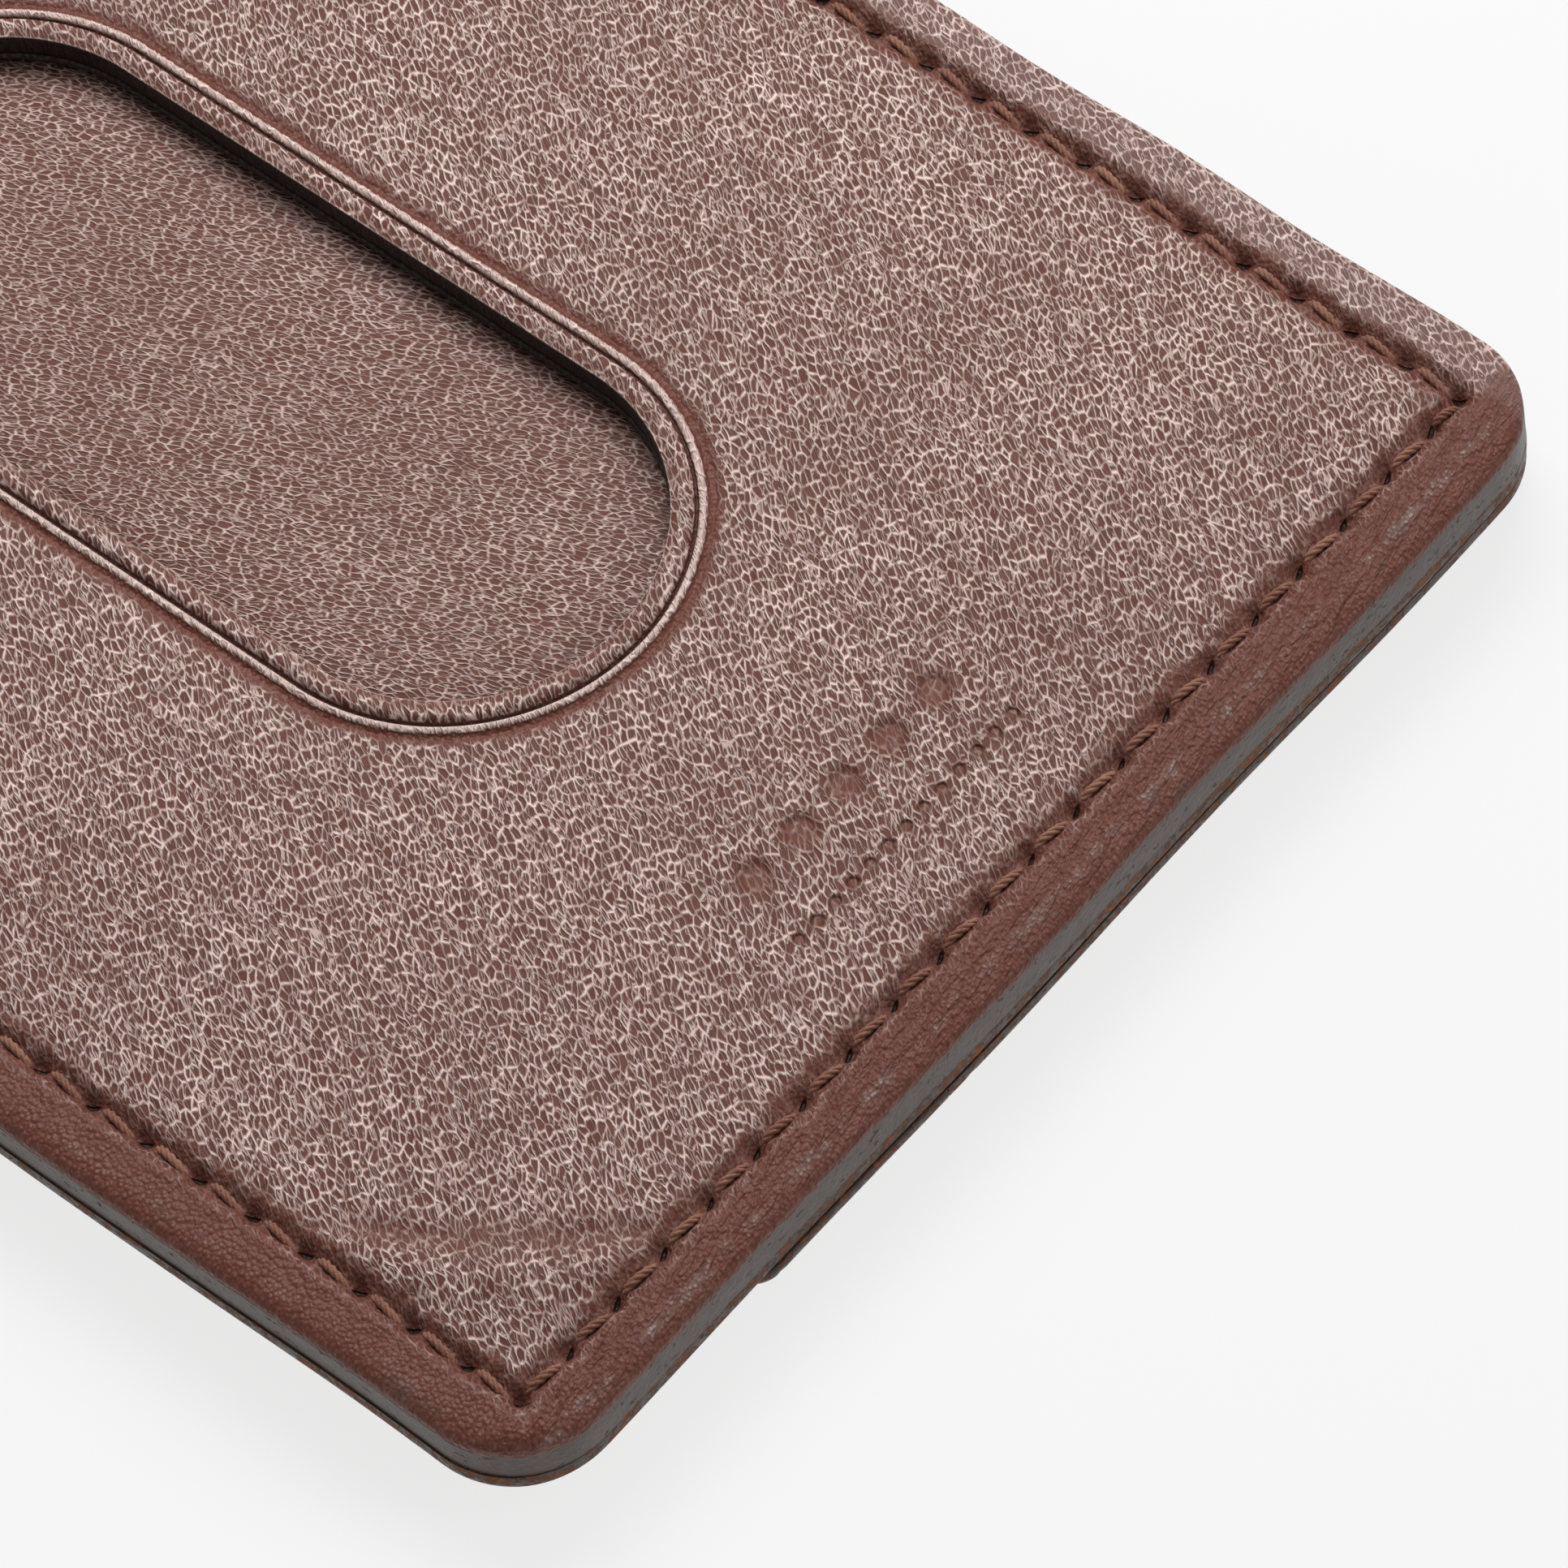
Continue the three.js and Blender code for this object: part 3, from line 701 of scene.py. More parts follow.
def paint_group():
    """Edge paint on the cut edges: where it lies, where it is rubbed to bare fibre, and its colour."""
    n, given, out = new_group(
        "Painted edge",
        [("Vector", "Vector", None), ("Paint", "Color", (0.07, 0.06, 0.05)),
         ("Bare", "Color", (0.3, 0.1, 0.05)),
         ("Dark", "Color", (0.05, 0.02, 0.015)), ("Rubbed", "Float", 0.3), ("Dark share", "Float", 0.0)],
        [("Colour", "Color"), ("Roughness", "Float"), ("Height", "Float")])
    long = n.vector("MULTIPLY", given["Vector"], (0.55, 0.55, 1.6))
    patch = n.noise(long, 1.5, 4.0, 0.65)
    speck = n.noise(given["Vector"], 2.8, 4.0, 0.7)
    low = n.math("SUBTRACT", 0.86, given["Rubbed"])
    bare = n.ramp(n.math("MULTIPLY", n.math("ADD", patch, speck), 0.62), low, n.math("ADD", low, 0.09))
    cloud = n.noise(given["Vector"], 0.9, 3.0)
    painted = n.mix(given["Dark share"], given["Paint"], given["Dark"])
    painted = n.mix(n.ramp(cloud, 0.3, 0.75, 0.0, 0.55), painted, n.mix(0.6, painted, (0.02, 0.014, 0.01)))
    fibre = n.mix(n.ramp(speck, 0.35, 0.65), given["Bare"], n.mix(0.7, given["Bare"], given["Dark"]))
    n.put(out["Colour"], n.mix(bare, painted, fibre))
    n.put(out["Roughness"], n.ramp(bare, 0.0, 1.0, 0.36, 0.85, False))
    n.put(out["Height"], n.math("ADD", n.math("MULTIPLY", bare, -0.9), n.math("MULTIPLY", speck, 0.8)))
    return n.tree


def press_group():
    """A plain row of blind-pressed round dots with a row of small ones beside it."""
    n, given, out = new_group(
        "Pressed row",
        [("Vector", "Vector", None), ("Centre", "Vector", (38.0, -0.2, 0.0)), ("Half length", "Float", 7.75),
         ("Pitch", "Float", 3.1), ("Radius", "Float", 1.05), ("Small place", "Float", 3.6),
         ("Small pitch", "Float", 1.24), ("Small radius", "Float", 0.38)],
        [("Pressed", "Float"), ("Halo", "Float")])
    local = n.vector("SUBTRACT", given["Vector"], given["Centre"])
    x, y, _ = n.split(local)
    inside = n.ramp(n.math("ABSOLUTE", y), given["Half length"], n.math("ADD", given["Half length"], 0.1),
                    1.0, 0.0)

    def dots(across, pitch, radius):
        turn = n.math("DIVIDE", y, pitch)
        along = n.math("MULTIPLY", n.math("SUBTRACT", turn, n.math("ROUND", turn)), pitch)
        reach = n.math("DIVIDE", n.vector("LENGTH", n.join(along, across, 0.0), out=1), radius)
        return n.ramp(reach, 0.45, 1.0, 1.0, 0.0), n.ramp(reach, 0.8, 1.6, 1.0, 0.0)

    large, round_large = dots(x, given["Pitch"], given["Radius"])
    small, round_small = dots(n.math("SUBTRACT", x, given["Small place"]), given["Small pitch"],
                              given["Small radius"])
    n.put(out["Pressed"], n.math("MULTIPLY", n.math("MAXIMUM", large, small), inside))
    halo = n.math("MAXIMUM", round_large, round_small)
    n.put(out["Halo"], n.math("MULTIPLY", halo, inside))
    return n.tree


def fibre_group():
    """Fibres and wax on twisted thread."""
    n, given, out = new_group(
        "Thread fibre",
        [("Vector", "Vector", None), ("Colour", "Color", (0.3, 0.1, 0.05)), ("Fineness", "Float", 5.0)],
        [("Colour", "Color"), ("Height", "Float")])
    strand = n.noise(n.vector("MULTIPLY", given["Vector"], (1.0, 1.0, 2.5)), given["Fineness"], 4.0, 0.65)
    cloud = n.noise(given["Vector"], 0.35, 2.0)
    shade = n.mix(n.ramp(strand, 0.3, 0.7), n.mix(0.55, given["Colour"], (0.03, 0.01, 0.006)),
                  given["Colour"])
    n.put(out["Colour"], n.mix(n.ramp(cloud, 0.4, 0.7, 0.0, 0.35), shade, (0.40, 0.20, 0.12)))
    n.put(out["Height"], strand)
    return n.tree


def new_material(name):
    material = bpy.data.materials.new(name)
    material.use_nodes = True
    tree = material.node_tree
    tree.nodes.clear()
    n = Nodes(tree)
    shader = n.add("ShaderNodeBsdfPrincipled")
    end = n.add("ShaderNodeOutputMaterial")
    tree.links.new(shader.outputs[0], end.inputs[0])
    coordinates = n.add("ShaderNodeTexCoord").outputs["Object"]
    return material, n, shader, n.vector("SCALE", coordinates, scale=1.0 / MM)


def bump(n, shader, height, distance, strength=1.0, before=None):
    node = n.add("ShaderNodeBump")
    n.put(node.inputs["Height"], height)
    node.inputs["Distance"].default_value = distance
    node.inputs["Strength"].default_value = strength
    if before is not None:
        n.put(node.inputs["Normal"], before)
    if shader is not None:
        n.put(shader.inputs["Normal"], node.outputs[0])
    return node.outputs[0]


def leather(name, groups, settings, direction=-0.3, grain=1.0, ridge=0.19, window=False, seams=False,
            pressed=False, paint_top=None, paint_low=None, dark=0.0, rubbed=0.3, deep=1.0, gloss=0.47,
            rim_shadow_paint=False, dusk=0.0):
    """Dyed leather with pored grain; the cut edge between the two paint levels is painted."""
    sizes, colours = settings.sizes, settings.colours
    material, n, shader, place = new_material(name)
    spots = n.group(groups["places"], Vector=place)
    seam, rim = spots["Seam"], spots["Window"]
    texture = n.group(groups["grain"], Vector=place, Length=sizes.grain_length / MM * grain,
                      Width=sizes.grain_width / MM * grain, Direction=direction, Ridge_width=ridge)
    cloud = n.noise(place, 0.11, 3.0, 0.55)
    mottle = n.noise(place, 0.75, 3.0, 0.6)
    height_above = n.split(place)[2]
    # leather drawn smooth: along seams, at the rim and on the cut edges
    drawn = n.ramp(n.math("ABSOLUTE", n.math("ADD", seam, n.ramp(mottle, 0.3, 0.7, -0.5, 0.5, False))),
                   0.25, 1.35, 0.75, 0.0)
    if window:
        wave = n.ramp(mottle, 0.3, 0.7, -0.25, 0.25, False)
        near = n.math("ADD", rim, wave)
        outside = n.math("MULTIPLY", n.ramp(near, 1.9, 2.7, 1.0, 0.0), n.ramp(rim, 1.70, 1.80))
        strip = n.ramp(n.math("ABSOLUTE", n.math("SUBTRACT", rim, 0.26)), 0.12, 0.24, 0.3, 0.0)
        crease = n.ramp(n.math("ABSOLUTE", n.math("SUBTRACT", rim, 1.22)), 0.05, 0.13, 1.0, 0.0)
        drawn = n.math("MAXIMUM", n.math("MAXIMUM", drawn, outside), n.math("MAXIMUM", strip, crease))
        # painted highlight: a pale line on the window's edge and on the low ridge round it, where light
        # catches them
        rim_highlight_paint = n.math("MAXIMUM", n.ramp(n.math("ABSOLUTE", n.math("SUBTRACT", rim, 1.50)), 0.08, 0.22,
                                          0.65, 0.0),
                        n.ramp(rim, 0.03, 0.11, 0.6, 0.0))
    if window:
        drawn = n.math("MAXIMUM", drawn,
                       n.math("MULTIPLY", spots["Fold"], n.ramp(mottle, 0.3, 0.7, 0.25, 0.6)))
        side = n.math("MINIMUM", spots["Short side"], n.math("ADD", n.split(place)[1], SEAM_Y))
        shoulder = n.ramp(n.math("ADD", side, n.ramp(mottle, 0.3, 0.7, -0.3, 0.3, False)), -1.2, -0.2, 0.92,
                          0.0)
        drawn = n.math("MAXIMUM", drawn, shoulder)
    if seams:
        slit = n.group(groups["needles"], Vector=place)
        drawn = n.math("MAXIMUM", drawn, n.math("MULTIPLY", slit["Hole ring"], 0.85))
    pebble = n.voronoi(n.vector("SCALE", place, scale=4.4), "SMOOTH_F1", 1.0, "Distance", "3D", 0.3)
    ridges = n.math("MULTIPLY", texture["Ridge"], n.ramp(drawn, 0.0, 1.0, 1.0, 0.08, False))
    ridges = n.math("MULTIPLY", ridges, n.ramp(cloud, 0.3, 0.7, 0.72, 1.0, False))
    dye = n.mix(n.ramp(texture["Tone"], 0.0, 1.0, 0.0, 0.35, False), colours.pore, (0.20, 0.085, 0.066))
    # the pale ridge colour is partly the grain's own and partly painted sheen
    tone = n.mix(ridges, dye, colours.ridge)
    # drawn leather: smooth colour, lightened at the centre of each fine pebble as painted glints
    tone = n.mix(n.math("MULTIPLY", drawn, 0.88), tone,
                 n.mix(n.ramp(pebble, 0.12, 0.5, 0.5, 0.0), colours.smooth, (0.24, 0.105, 0.080)))
    tone = n.mix(n.ramp(mottle, 0.35, 0.7, 0.0, 0.14, False), tone, (0.16, 0.055, 0.04))
    if window:
        # the waxed shoulder carries a painted highlight, pale grey in patches where the light catches it; the
        # high long margin carries a pale painted sheen of the back light
        shoulder_highlight_paint = n.ramp(n.math("ABSOLUTE", n.math("ADD", seam, MARGIN - 0.95)), 0.1, 0.42, 1.0, 0.0)
        shoulder_highlight_paint = n.math("MULTIPLY", shoulder_highlight_paint, n.ramp(n.noise(place, 0.5, 5.0, 0.75), 0.44, 0.62, 0.0, 0.62))
        shoulder_highlight_paint = n.math("MULTIPLY", shoulder_highlight_paint, n.ramp(pebble, 0.15, 0.5, 1.0, 0.25))
        shoulder_highlight_paint = n.math("MULTIPLY", shoulder_highlight_paint, n.ramp(spots["Short side"], -1.4, 0.4, 1.0, 0.35))
        margin_sheen_paint = n.ramp(n.split(place)[1], SEAM_Y + 0.4, SEAM_Y + 1.2, 0.0, 0.12)
        tone = n.mix(n.math("MAXIMUM", shoulder_highlight_paint, margin_sheen_paint), tone, (0.42, 0.36, 0.34))
        # painted highlights on the rim of the window
        tone = n.mix(rim_highlight_paint, tone, colours.ridge)
        tone = n.mix(n.math("MULTIPLY", crease, 0.6), tone, (0.03, 0.01, 0.007))
    rough = n.math("ADD", n.ramp(mottle, 0.3, 0.7, gloss - 0.05, gloss + 0.06, False),
                   n.math("MULTIPLY", drawn, -0.12))
    rough = n.math("ADD", rough, n.ramp(ridges, 0.0, 1.0, 0.14, -0.04, False))
    relief = n.math("MULTIPLY", texture["Height"], n.ramp(drawn, 0.0, 1.0, 1.0, 0.0, False))
    px, py, pz = n.split(place)
    slanted = n.join(n.math("ADD", n.math("MULTIPLY", px, 2.2), n.math("MULTIPLY", py, 0.35)),
                     n.math("MULTIPLY", py, 0.5), pz)
    creasing = n.noise(slanted, 1.0, 3.0, 0.6, 0.5)
    beside = n.ramp(spots["Short side"], -0.2, 0.6, 4.2, 0.9)
    fine_relief = n.math("SUBTRACT", n.math("MULTIPLY", creasing, beside), n.math("MULTIPLY", pebble, 0.8))
    relief = n.math("ADD", relief, n.math("MULTIPLY", fine_relief, drawn))
    if pressed:
        mark = n.group(groups["press"], Vector=place)
        relief = n.math("MULTIPLY", relief, n.ramp(mark["Pressed"], 0.0, 1.0, 1.0, 0.25, False))
        relief = n.math("SUBTRACT", relief, n.math("MULTIPLY", mark["Pressed"], 1.9))
        tone = n.mix(n.math("MULTIPLY", mark["Halo"], 0.5), tone, colours.smooth)
        tone = n.mix(n.math("MULTIPLY", mark["Pressed"], 0.6), tone, colours.smooth)
    if seams:
        # painted shade: the leather round each needle hole is darkened a little, and each slit nearly to
        # black
        tone = n.mix(n.math("MULTIPLY", slit["Hole ring"], 0.25), tone, (0.075, 0.024, 0.014))
        tone = n.mix(n.math("MULTIPLY", slit["Slit"], 0.9), tone, (0.012, 0.006, 0.004))
        relief = n.math("SUBTRACT", relief, n.math("MULTIPLY", slit["Slit"], 2.2))
    if rim_shadow_paint:
        # painted shadow: the backing is darkened where it runs in under the rim of the window
        under = n.ramp(n.math("ADD", rim, n.ramp(mottle, 0.3, 0.7, -0.3, 0.3, False)), -0.4, 0.1, 0.0, 0.5)
        tone = n.mix(under, tone, (0.045, 0.018, 0.013))
    if dusk:
        tone = n.mix(dusk, tone, colours.smooth)
    if window:
        wall = n.math("MULTIPLY", n.ramp(rim, 0.02, 0.10, 1.0, 0.0),
                      n.ramp(height_above, FLANGE_TOP + 0.80, FLANGE_TOP + 0.92, 1.0, 0.0))
        tone = n.mix(wall, tone, colours.window_edge)
        rough = n.blend(wall, rough, 0.42)
    if paint_top is not None:
        outer = n.ramp(spots["Cut edge"], 0.75, 0.5, 0.0, 1.0)
        waver = n.math("ADD", height_above, n.ramp(n.noise(place, 0.8, 3.0), 0.3, 0.7, -0.14, 0.14, False))
        lower = n.ramp(waver, paint_top - 0.04, paint_top + 0.06, 1.0, 0.0)
        if paint_low is not None:
            lower = n.math("MULTIPLY", lower, n.ramp(waver, paint_low - 0.06, paint_low + 0.04, 0.0, 1.0))
        where = n.math("MULTIPLY", outer, lower)
        edge = n.group(groups["paint"], Vector=place, Paint=tuple(colours.paint), Bare=tuple(colours.raw),
                       Dark=(0.050, 0.022, 0.015), Dark_share=dark, Rubbed=rubbed)
        smear_at = n.math("MULTIPLY", n.ramp(seam, -MARGIN + 1.5, -MARGIN + 0.4, 0.0, 1.0),
                          n.ramp(n.noise(place, 0.33, 4.0, 0.7), 0.56, 0.72, 0.0, 0.5))
        tone = n.mix(smear_at, tone, colours.paint)
        tone = n.mix(where, tone, edge["Colour"])
        rough = n.blend(where, rough, edge["Roughness"])
        relief = n.blend(where, relief, edge["Height"])
    n.put(shader.inputs["Base Color"], tone)
    n.put(shader.inputs["Roughness"], rough)
    shader.inputs["Specular IOR Level"].default_value = 0.28
    bump(n, shader, relief, sizes.grain_depth * deep, 0.9)
    return material


def lining_material(groups, settings):
    """Thin split leather with a short nap; its cut edges show bare fibre."""
    material, n, shader, place = new_material("Lining split")
    nap = n.noise(place, 4.0, 4.0, 0.7)
    cloud = n.noise(place, 0.4, 3.0)
    tone = n.mix(n.ramp(nap, 0.3, 0.7), n.mix(0.5, settings.colours.lining, (0.02, 0.01, 0.008)),
                 settings.colours.lining)
    edge = n.group(groups["paint"], Vector=place, Paint=tuple(settings.colours.paint),
                   Bare=tuple(settings.colours.raw), Dark=(0.05, 0.022, 0.015), Rubbed=0.22)
    spots = n.group(groups["places"], Vector=place)
    outer = n.ramp(spots["Cut edge"], 0.75, 0.5, 0.0, 1.0)
    tone = n.mix(n.ramp(cloud, 0.35, 0.7, 0.0, 0.3), tone, (0.05, 0.018, 0.012))
    inner = n.ramp(n.math("ABSOLUTE", spots["Window"]), 0.25, 0.5, 1.0, 0.0)
    tone = n.mix(inner, tone, n.mix(n.ramp(nap, 0.45, 0.62), settings.colours.window_edge,
                                    (0.065, 0.055, 0.045)))
    n.put(shader.inputs["Base Color"], n.mix(outer, tone, edge["Colour"]))
    n.put(shader.inputs["Roughness"], n.blend(outer, 0.9, edge["Roughness"]))
    bump(n, shader, nap, 0.00004)
    return material


def thread_material(groups, settings):
    material, n, shader, place = new_material("Waxed thread")
    fibre = n.group(groups["fibre"], Vector=place, Colour=tuple(settings.colours.thread), Fineness=5.5)
    n.put(shader.inputs["Base Color"], fibre["Colour"])
    shader.inputs["Roughness"].default_value = 0.62
    shader.inputs["Sheen Weight"].default_value = 0.15
    bump(n, shader, fibre["Height"], 0.00005)
    return material


# ---- stitches
def stitch_tree():
    """Geometry nodes: one slanting three-ply stitch on every edge of a path of needle holes."""
    tree = bpy.data.node_groups.new("Lock stitch", "GeometryNodeTree")
    face = tree.interface

    def entry(title, kind, default=None):
        socket = face.new_socket(name=title, in_out="INPUT", socket_type="NodeSocket" + kind)
        if default is not None:
            socket.default_value = default
        return socket

    entry("Geometry", "Geometry")
    entry("Thread", "Float", 0.6 * MM)
    entry("Slope", "Float", 0.22)
    entry("Rise", "Float", 0.04 * MM)
    entry("Sink", "Float", 0.75 * MM)
    entry("Turns", "Float", 2.1)
    entry("Overlap", "Float", 0.86)
    entry("Outward", "Vector", (0.0, 0.0, 1.0))
    entry("Steps", "Int", 11)
    entry("Sides", "Int", 6)
    entry("Material", "Material")
    face.new_socket(name="Geometry", in_out="OUTPUT", socket_type="NodeSocketGeometry")
    n = Nodes(tree)
    given = n.add("NodeGroupInput").outputs
    leave = n.add("NodeGroupOutput").inputs

    # edges of the path, each with its direction
    ends = n.add("GeometryNodeInputMeshEdgeVertices").outputs
    along = n.vector("SUBTRACT", ends["Position 2"], ends["Position 1"])
    keep = n.add("GeometryNodeCaptureAttribute", domain="EDGE")
    keep.capture_items.new("VECTOR", "Along")
    n.put(keep.inputs["Geometry"], given["Geometry"])
    n.put(keep.inputs["Along"], along)
    points = n.add("GeometryNodeMeshToPoints", mode="EDGES")
    n.put(points.inputs["Mesh"], keep.outputs["Geometry"])

    # one stitch along X, a unit long, in three plies
    line = n.add("GeometryNodeCurvePrimitiveLine")
    line.inputs["Start"].default_value = (-0.5, 0.0, 0.0)
    line.inputs["End"].default_value = (0.5, 0.0, 0.0)
    even = n.add("GeometryNodeResampleCurve")
    n.put(even.inputs["Curve"], line.outputs[0])
    n.put(even.inputs["Count"], given["Steps"])
    plies = n.add("GeometryNodeDuplicateElements", domain="SPLINE")
    n.put(plies.inputs["Geometry"], even.outputs[0])
    plies.inputs["Amount"].default_value = 3
    factor = n.add("GeometryNodeSplineParameter").outputs["Factor"]
    turn = n.math("MULTIPLY", n.math("MULTIPLY", factor, given["Turns"]), 2 * math.pi)
    turn = n.math("ADD", turn, n.math("MULTIPLY", plies.outputs["Duplicate Index"], 2 * math.pi / 3))
    middle = n.math("ABSOLUTE", n.math("MULTIPLY", n.math("SUBTRACT", factor, 0.5), 2.0))
    taper = n.math("SUBTRACT", 1.0, n.math("MULTIPLY", n.math("POWER", middle, 4.0), 0.45))
    ply = n.math("MULTIPLY", n.math("MULTIPLY", given["Thread"], 0.23), taper)
    across = n.math("MULTIPLY", n.math("COSINE", turn), ply)
    across = n.math("SUBTRACT", across, n.math("MULTIPLY", n.math("SUBTRACT", factor, 0.5),
                                               n.math("MULTIPLY", given["Slope"], PITCH * MM)))
    arch = n.math("SUBTRACT", given["Rise"], n.math("MULTIPLY", n.math("POWER", middle, 2.6), given["Sink"]))
    high = n.math("ADD", n.math("MULTIPLY", n.math("SINE", turn), ply), arch)
    place = n.add("GeometryNodeSetPosition")
    n.put(place.inputs["Geometry"], plies.outputs["Geometry"])
    n.put(place.inputs["Offset"], n.join(n.math("MULTIPLY", n.math("SUBTRACT", factor, 0.5),
                                                n.math("SUBTRACT", given["Overlap"], 1.0)), across, high))
    ring = n.add("GeometryNodeCurvePrimitiveCircle")
    n.put(ring.inputs["Resolution"], given["Sides"])
    n.put(ring.inputs["Radius"], n.math("MULTIPLY", given["Thread"], 0.27))
    skin = n.add("GeometryNodeCurveToMesh")
    n.put(skin.inputs["Curve"], place.outputs[0])
    n.put(skin.inputs["Profile Curve"], ring.outputs[0])
    skin.inputs["Fill Caps"].default_value = True
    if "Scale" in skin.inputs:
        n.put(skin.inputs["Scale"], taper)

    # a stitch on every edge, turned along it with its back outwards
    aim = n.add("FunctionNodeAlignRotationToVector", axis="X")
    n.put(aim.inputs["Vector"], keep.outputs["Along"])
    lift = n.add("FunctionNodeAlignRotationToVector", axis="Z", pivot_axis="X")
    n.put(lift.inputs["Rotation"], aim.outputs[0])
    n.put(lift.inputs["Vector"], given["Outward"])
    copies = n.add("GeometryNodeInstanceOnPoints")
    n.put(copies.inputs["Points"], points.outputs[0])
    n.put(copies.inputs["Instance"], skin.outputs[0])
    n.put(copies.inputs["Rotation"], lift.outputs[0])
    n.put(copies.inputs["Scale"], n.join(n.vector("LENGTH", keep.outputs["Along"], out=1), 1.0, 1.0))
    real = n.add("GeometryNodeRealizeInstances")
    n.put(real.inputs[0], copies.outputs[0])
    smooth = n.add("GeometryNodeSetShadeSmooth")
    n.put(smooth.inputs[0], real.outputs[0])
    finish = n.add("GeometryNodeSetMaterial")
    n.put(finish.inputs["Geometry"], smooth.outputs[0])
    n.put(finish.inputs["Material"], given["Material"])
    n.put(leave["Geometry"], finish.outputs[0])
    return tree


def sew(name, holes, tree, material, outward, node, **values):
    """Runs the stitch tree on a path of holes (millimetres) and keeps the result as one plain mesh."""
    path = bpy.data.meshes.new(name + "_path")
    points = (np.array(holes, float) * MM).tolist()
    path.from_pydata(points, [(k, k + 1) for k in range(len(points) - 1)], [])
    carrier = bpy.data.objects.new(name + "_path", path)
    bpy.context.scene.collection.objects.link(carrier)
    modifier = carrier.modifiers.new("Stitches", "NODES")
    modifier.node_group = tree
    values = {"Outward": outward, "Material": material, **values}
    for item in tree.interface.items_tree:
        if item.in_out == "INPUT" and item.name in values:
            modifier[item.identifier] = values[item.name]
    graph = bpy.context.evaluated_depsgraph_get()
    mesh = bpy.data.meshes.new_from_object(carrier.evaluated_get(graph))
    bpy.data.objects.remove(carrier)
    piece = bpy.data.objects.new(name, mesh)
    bpy.context.scene.collection.objects.link(piece)
    return finish_piece(piece, material, "thread", node)


def at_height(holes, z):
    return np.column_stack([holes, z(holes) if callable(z) else np.full(len(holes), z)])


def rear_level(holes):
    """The rear seam runs on the base panel, then on the ears of the slot layers."""
    step = smoothstep(MOUTH_1 - 1.1, MOUTH_1 + 1.1, holes[:, 1])
    return BASE_LOW[2] + (EAR_LOW - BASE_LOW[2]) * step - 0.02


class Kit:
    """Groups and finishes that the operators share."""
    groups = {}
    stitch = None


def shared_groups():
    if not Kit.groups:
        Kit.groups = {"places": places_group(), "grain": grain_group(), "needles": needle_group(),
                      "paint": paint_group(), "press": press_group(), "fibre": fibre_group()}
        Kit.stitch = stitch_tree()
    return Kit.groups


FULL_CORE = (0.0, 0.0, WINDOW_HALF, WINDOW_R)
BLANK_CORE = (0.0, 0.0, WINDOW_HALF, 0.0)


def tucked(rect, by=0.15):
    """The same outline held back behind the painted edge of the front panel, except at the pocket's mouth."""
    return rect[0] + 0.02, rect[1] - by, rect[2] + by, rect[3] - by


class CARDCASE_OT_front(bpy.types.Operator):
    """Front panel: sewn flange, formed field and the rolled rim of the thumb window"""
    bl_idname = "cardcase.front"
    bl_label = "Front panel"

    def execute(self, context):
        settings = context.scene.card_case
        rows = {
            "under_rim": [0.0, 0.6, 2.0], "under_mix": [0.25, 0.5, 0.75],
            "under_edge": [7.5, 5.6, 5.0, 4.5, 4.0, 3.5, 2.4, 0.4, 0.04],
            "wall": [0.0, 0.02, 0.25, 0.5, 0.75, 1.0], "swell": 0.02,
            "edge": shoulder_rows(1.5, 7)[1:] + spaced(1.75, 2.25, 0.25) + spaced(2.4, 4.3, 0.135)
            + spaced(4.55, 7.5, 0.33),
            "mix": even_rows(17),
            "rim": [0.0, 0.03, 0.07, 0.12, 0.2] + spaced(0.35, 0.95, 0.15) + spaced(1.03, 2.23, 0.08)
            + [2.4, 2.65, 3.0, 3.4],
            "window_wall": [0.2, 0.5, 0.8]}
        piece = panel_mesh("front_leather", OUTLINE, CORNER_RADII, FULL_CORE,
                           front_top(settings.sizes), front_hollow(0.02, FRONT_LOW[2] - BACKING_LOW[2]),
                           rows, wander)
        material = leather("Front leather", shared_groups(), settings, direction=0.52, window=True,
                           seams=True, pressed=True, paint_top=FLANGE_TOP - 0.88, rubbed=0.15)
        finish_piece(piece, material, "front_leather", "front_panel")
        return {"FINISHED"}


class CARDCASE_OT_lining(bpy.types.Operator):
    """Thin lining glued under the front panel, cut with the same window"""
    bl_idname = "cardcase.lining"
    bl_label = "Front lining"

    def execute(self, context):
        settings = context.scene.card_case
        rows = {
            "under_rim": [0.0, 1.0], "under_mix": [0.3, 0.7], "under_edge": [7.5, 6.0, 5.0, 4.0, 3.0, 0.5],
            "wall": [0.0, 0.5, 1.0], "swell": 0.04, "edge": [0.1, 0.5, 3.0, 4.0, 5.0, 6.0, 7.5],
            "mix": even_rows(6), "rim": [0.0, 0.1, 1.0, 3.3], "window_wall": [0.5]}

        top = front_hollow(-0.02)
        under = front_hollow(-0.38)
        piece = panel_mesh("front_lining_skin", tucked(OUTLINE), CORNER_RADII,
                           (0, 0, WINDOW_HALF, WINDOW_R - 0.06),
                           top, under, rows, wander, 0.8)
        finish_piece(piece, lining_material(shared_groups(), settings), "lining", "front_lining")
        return {"FINISHED"}


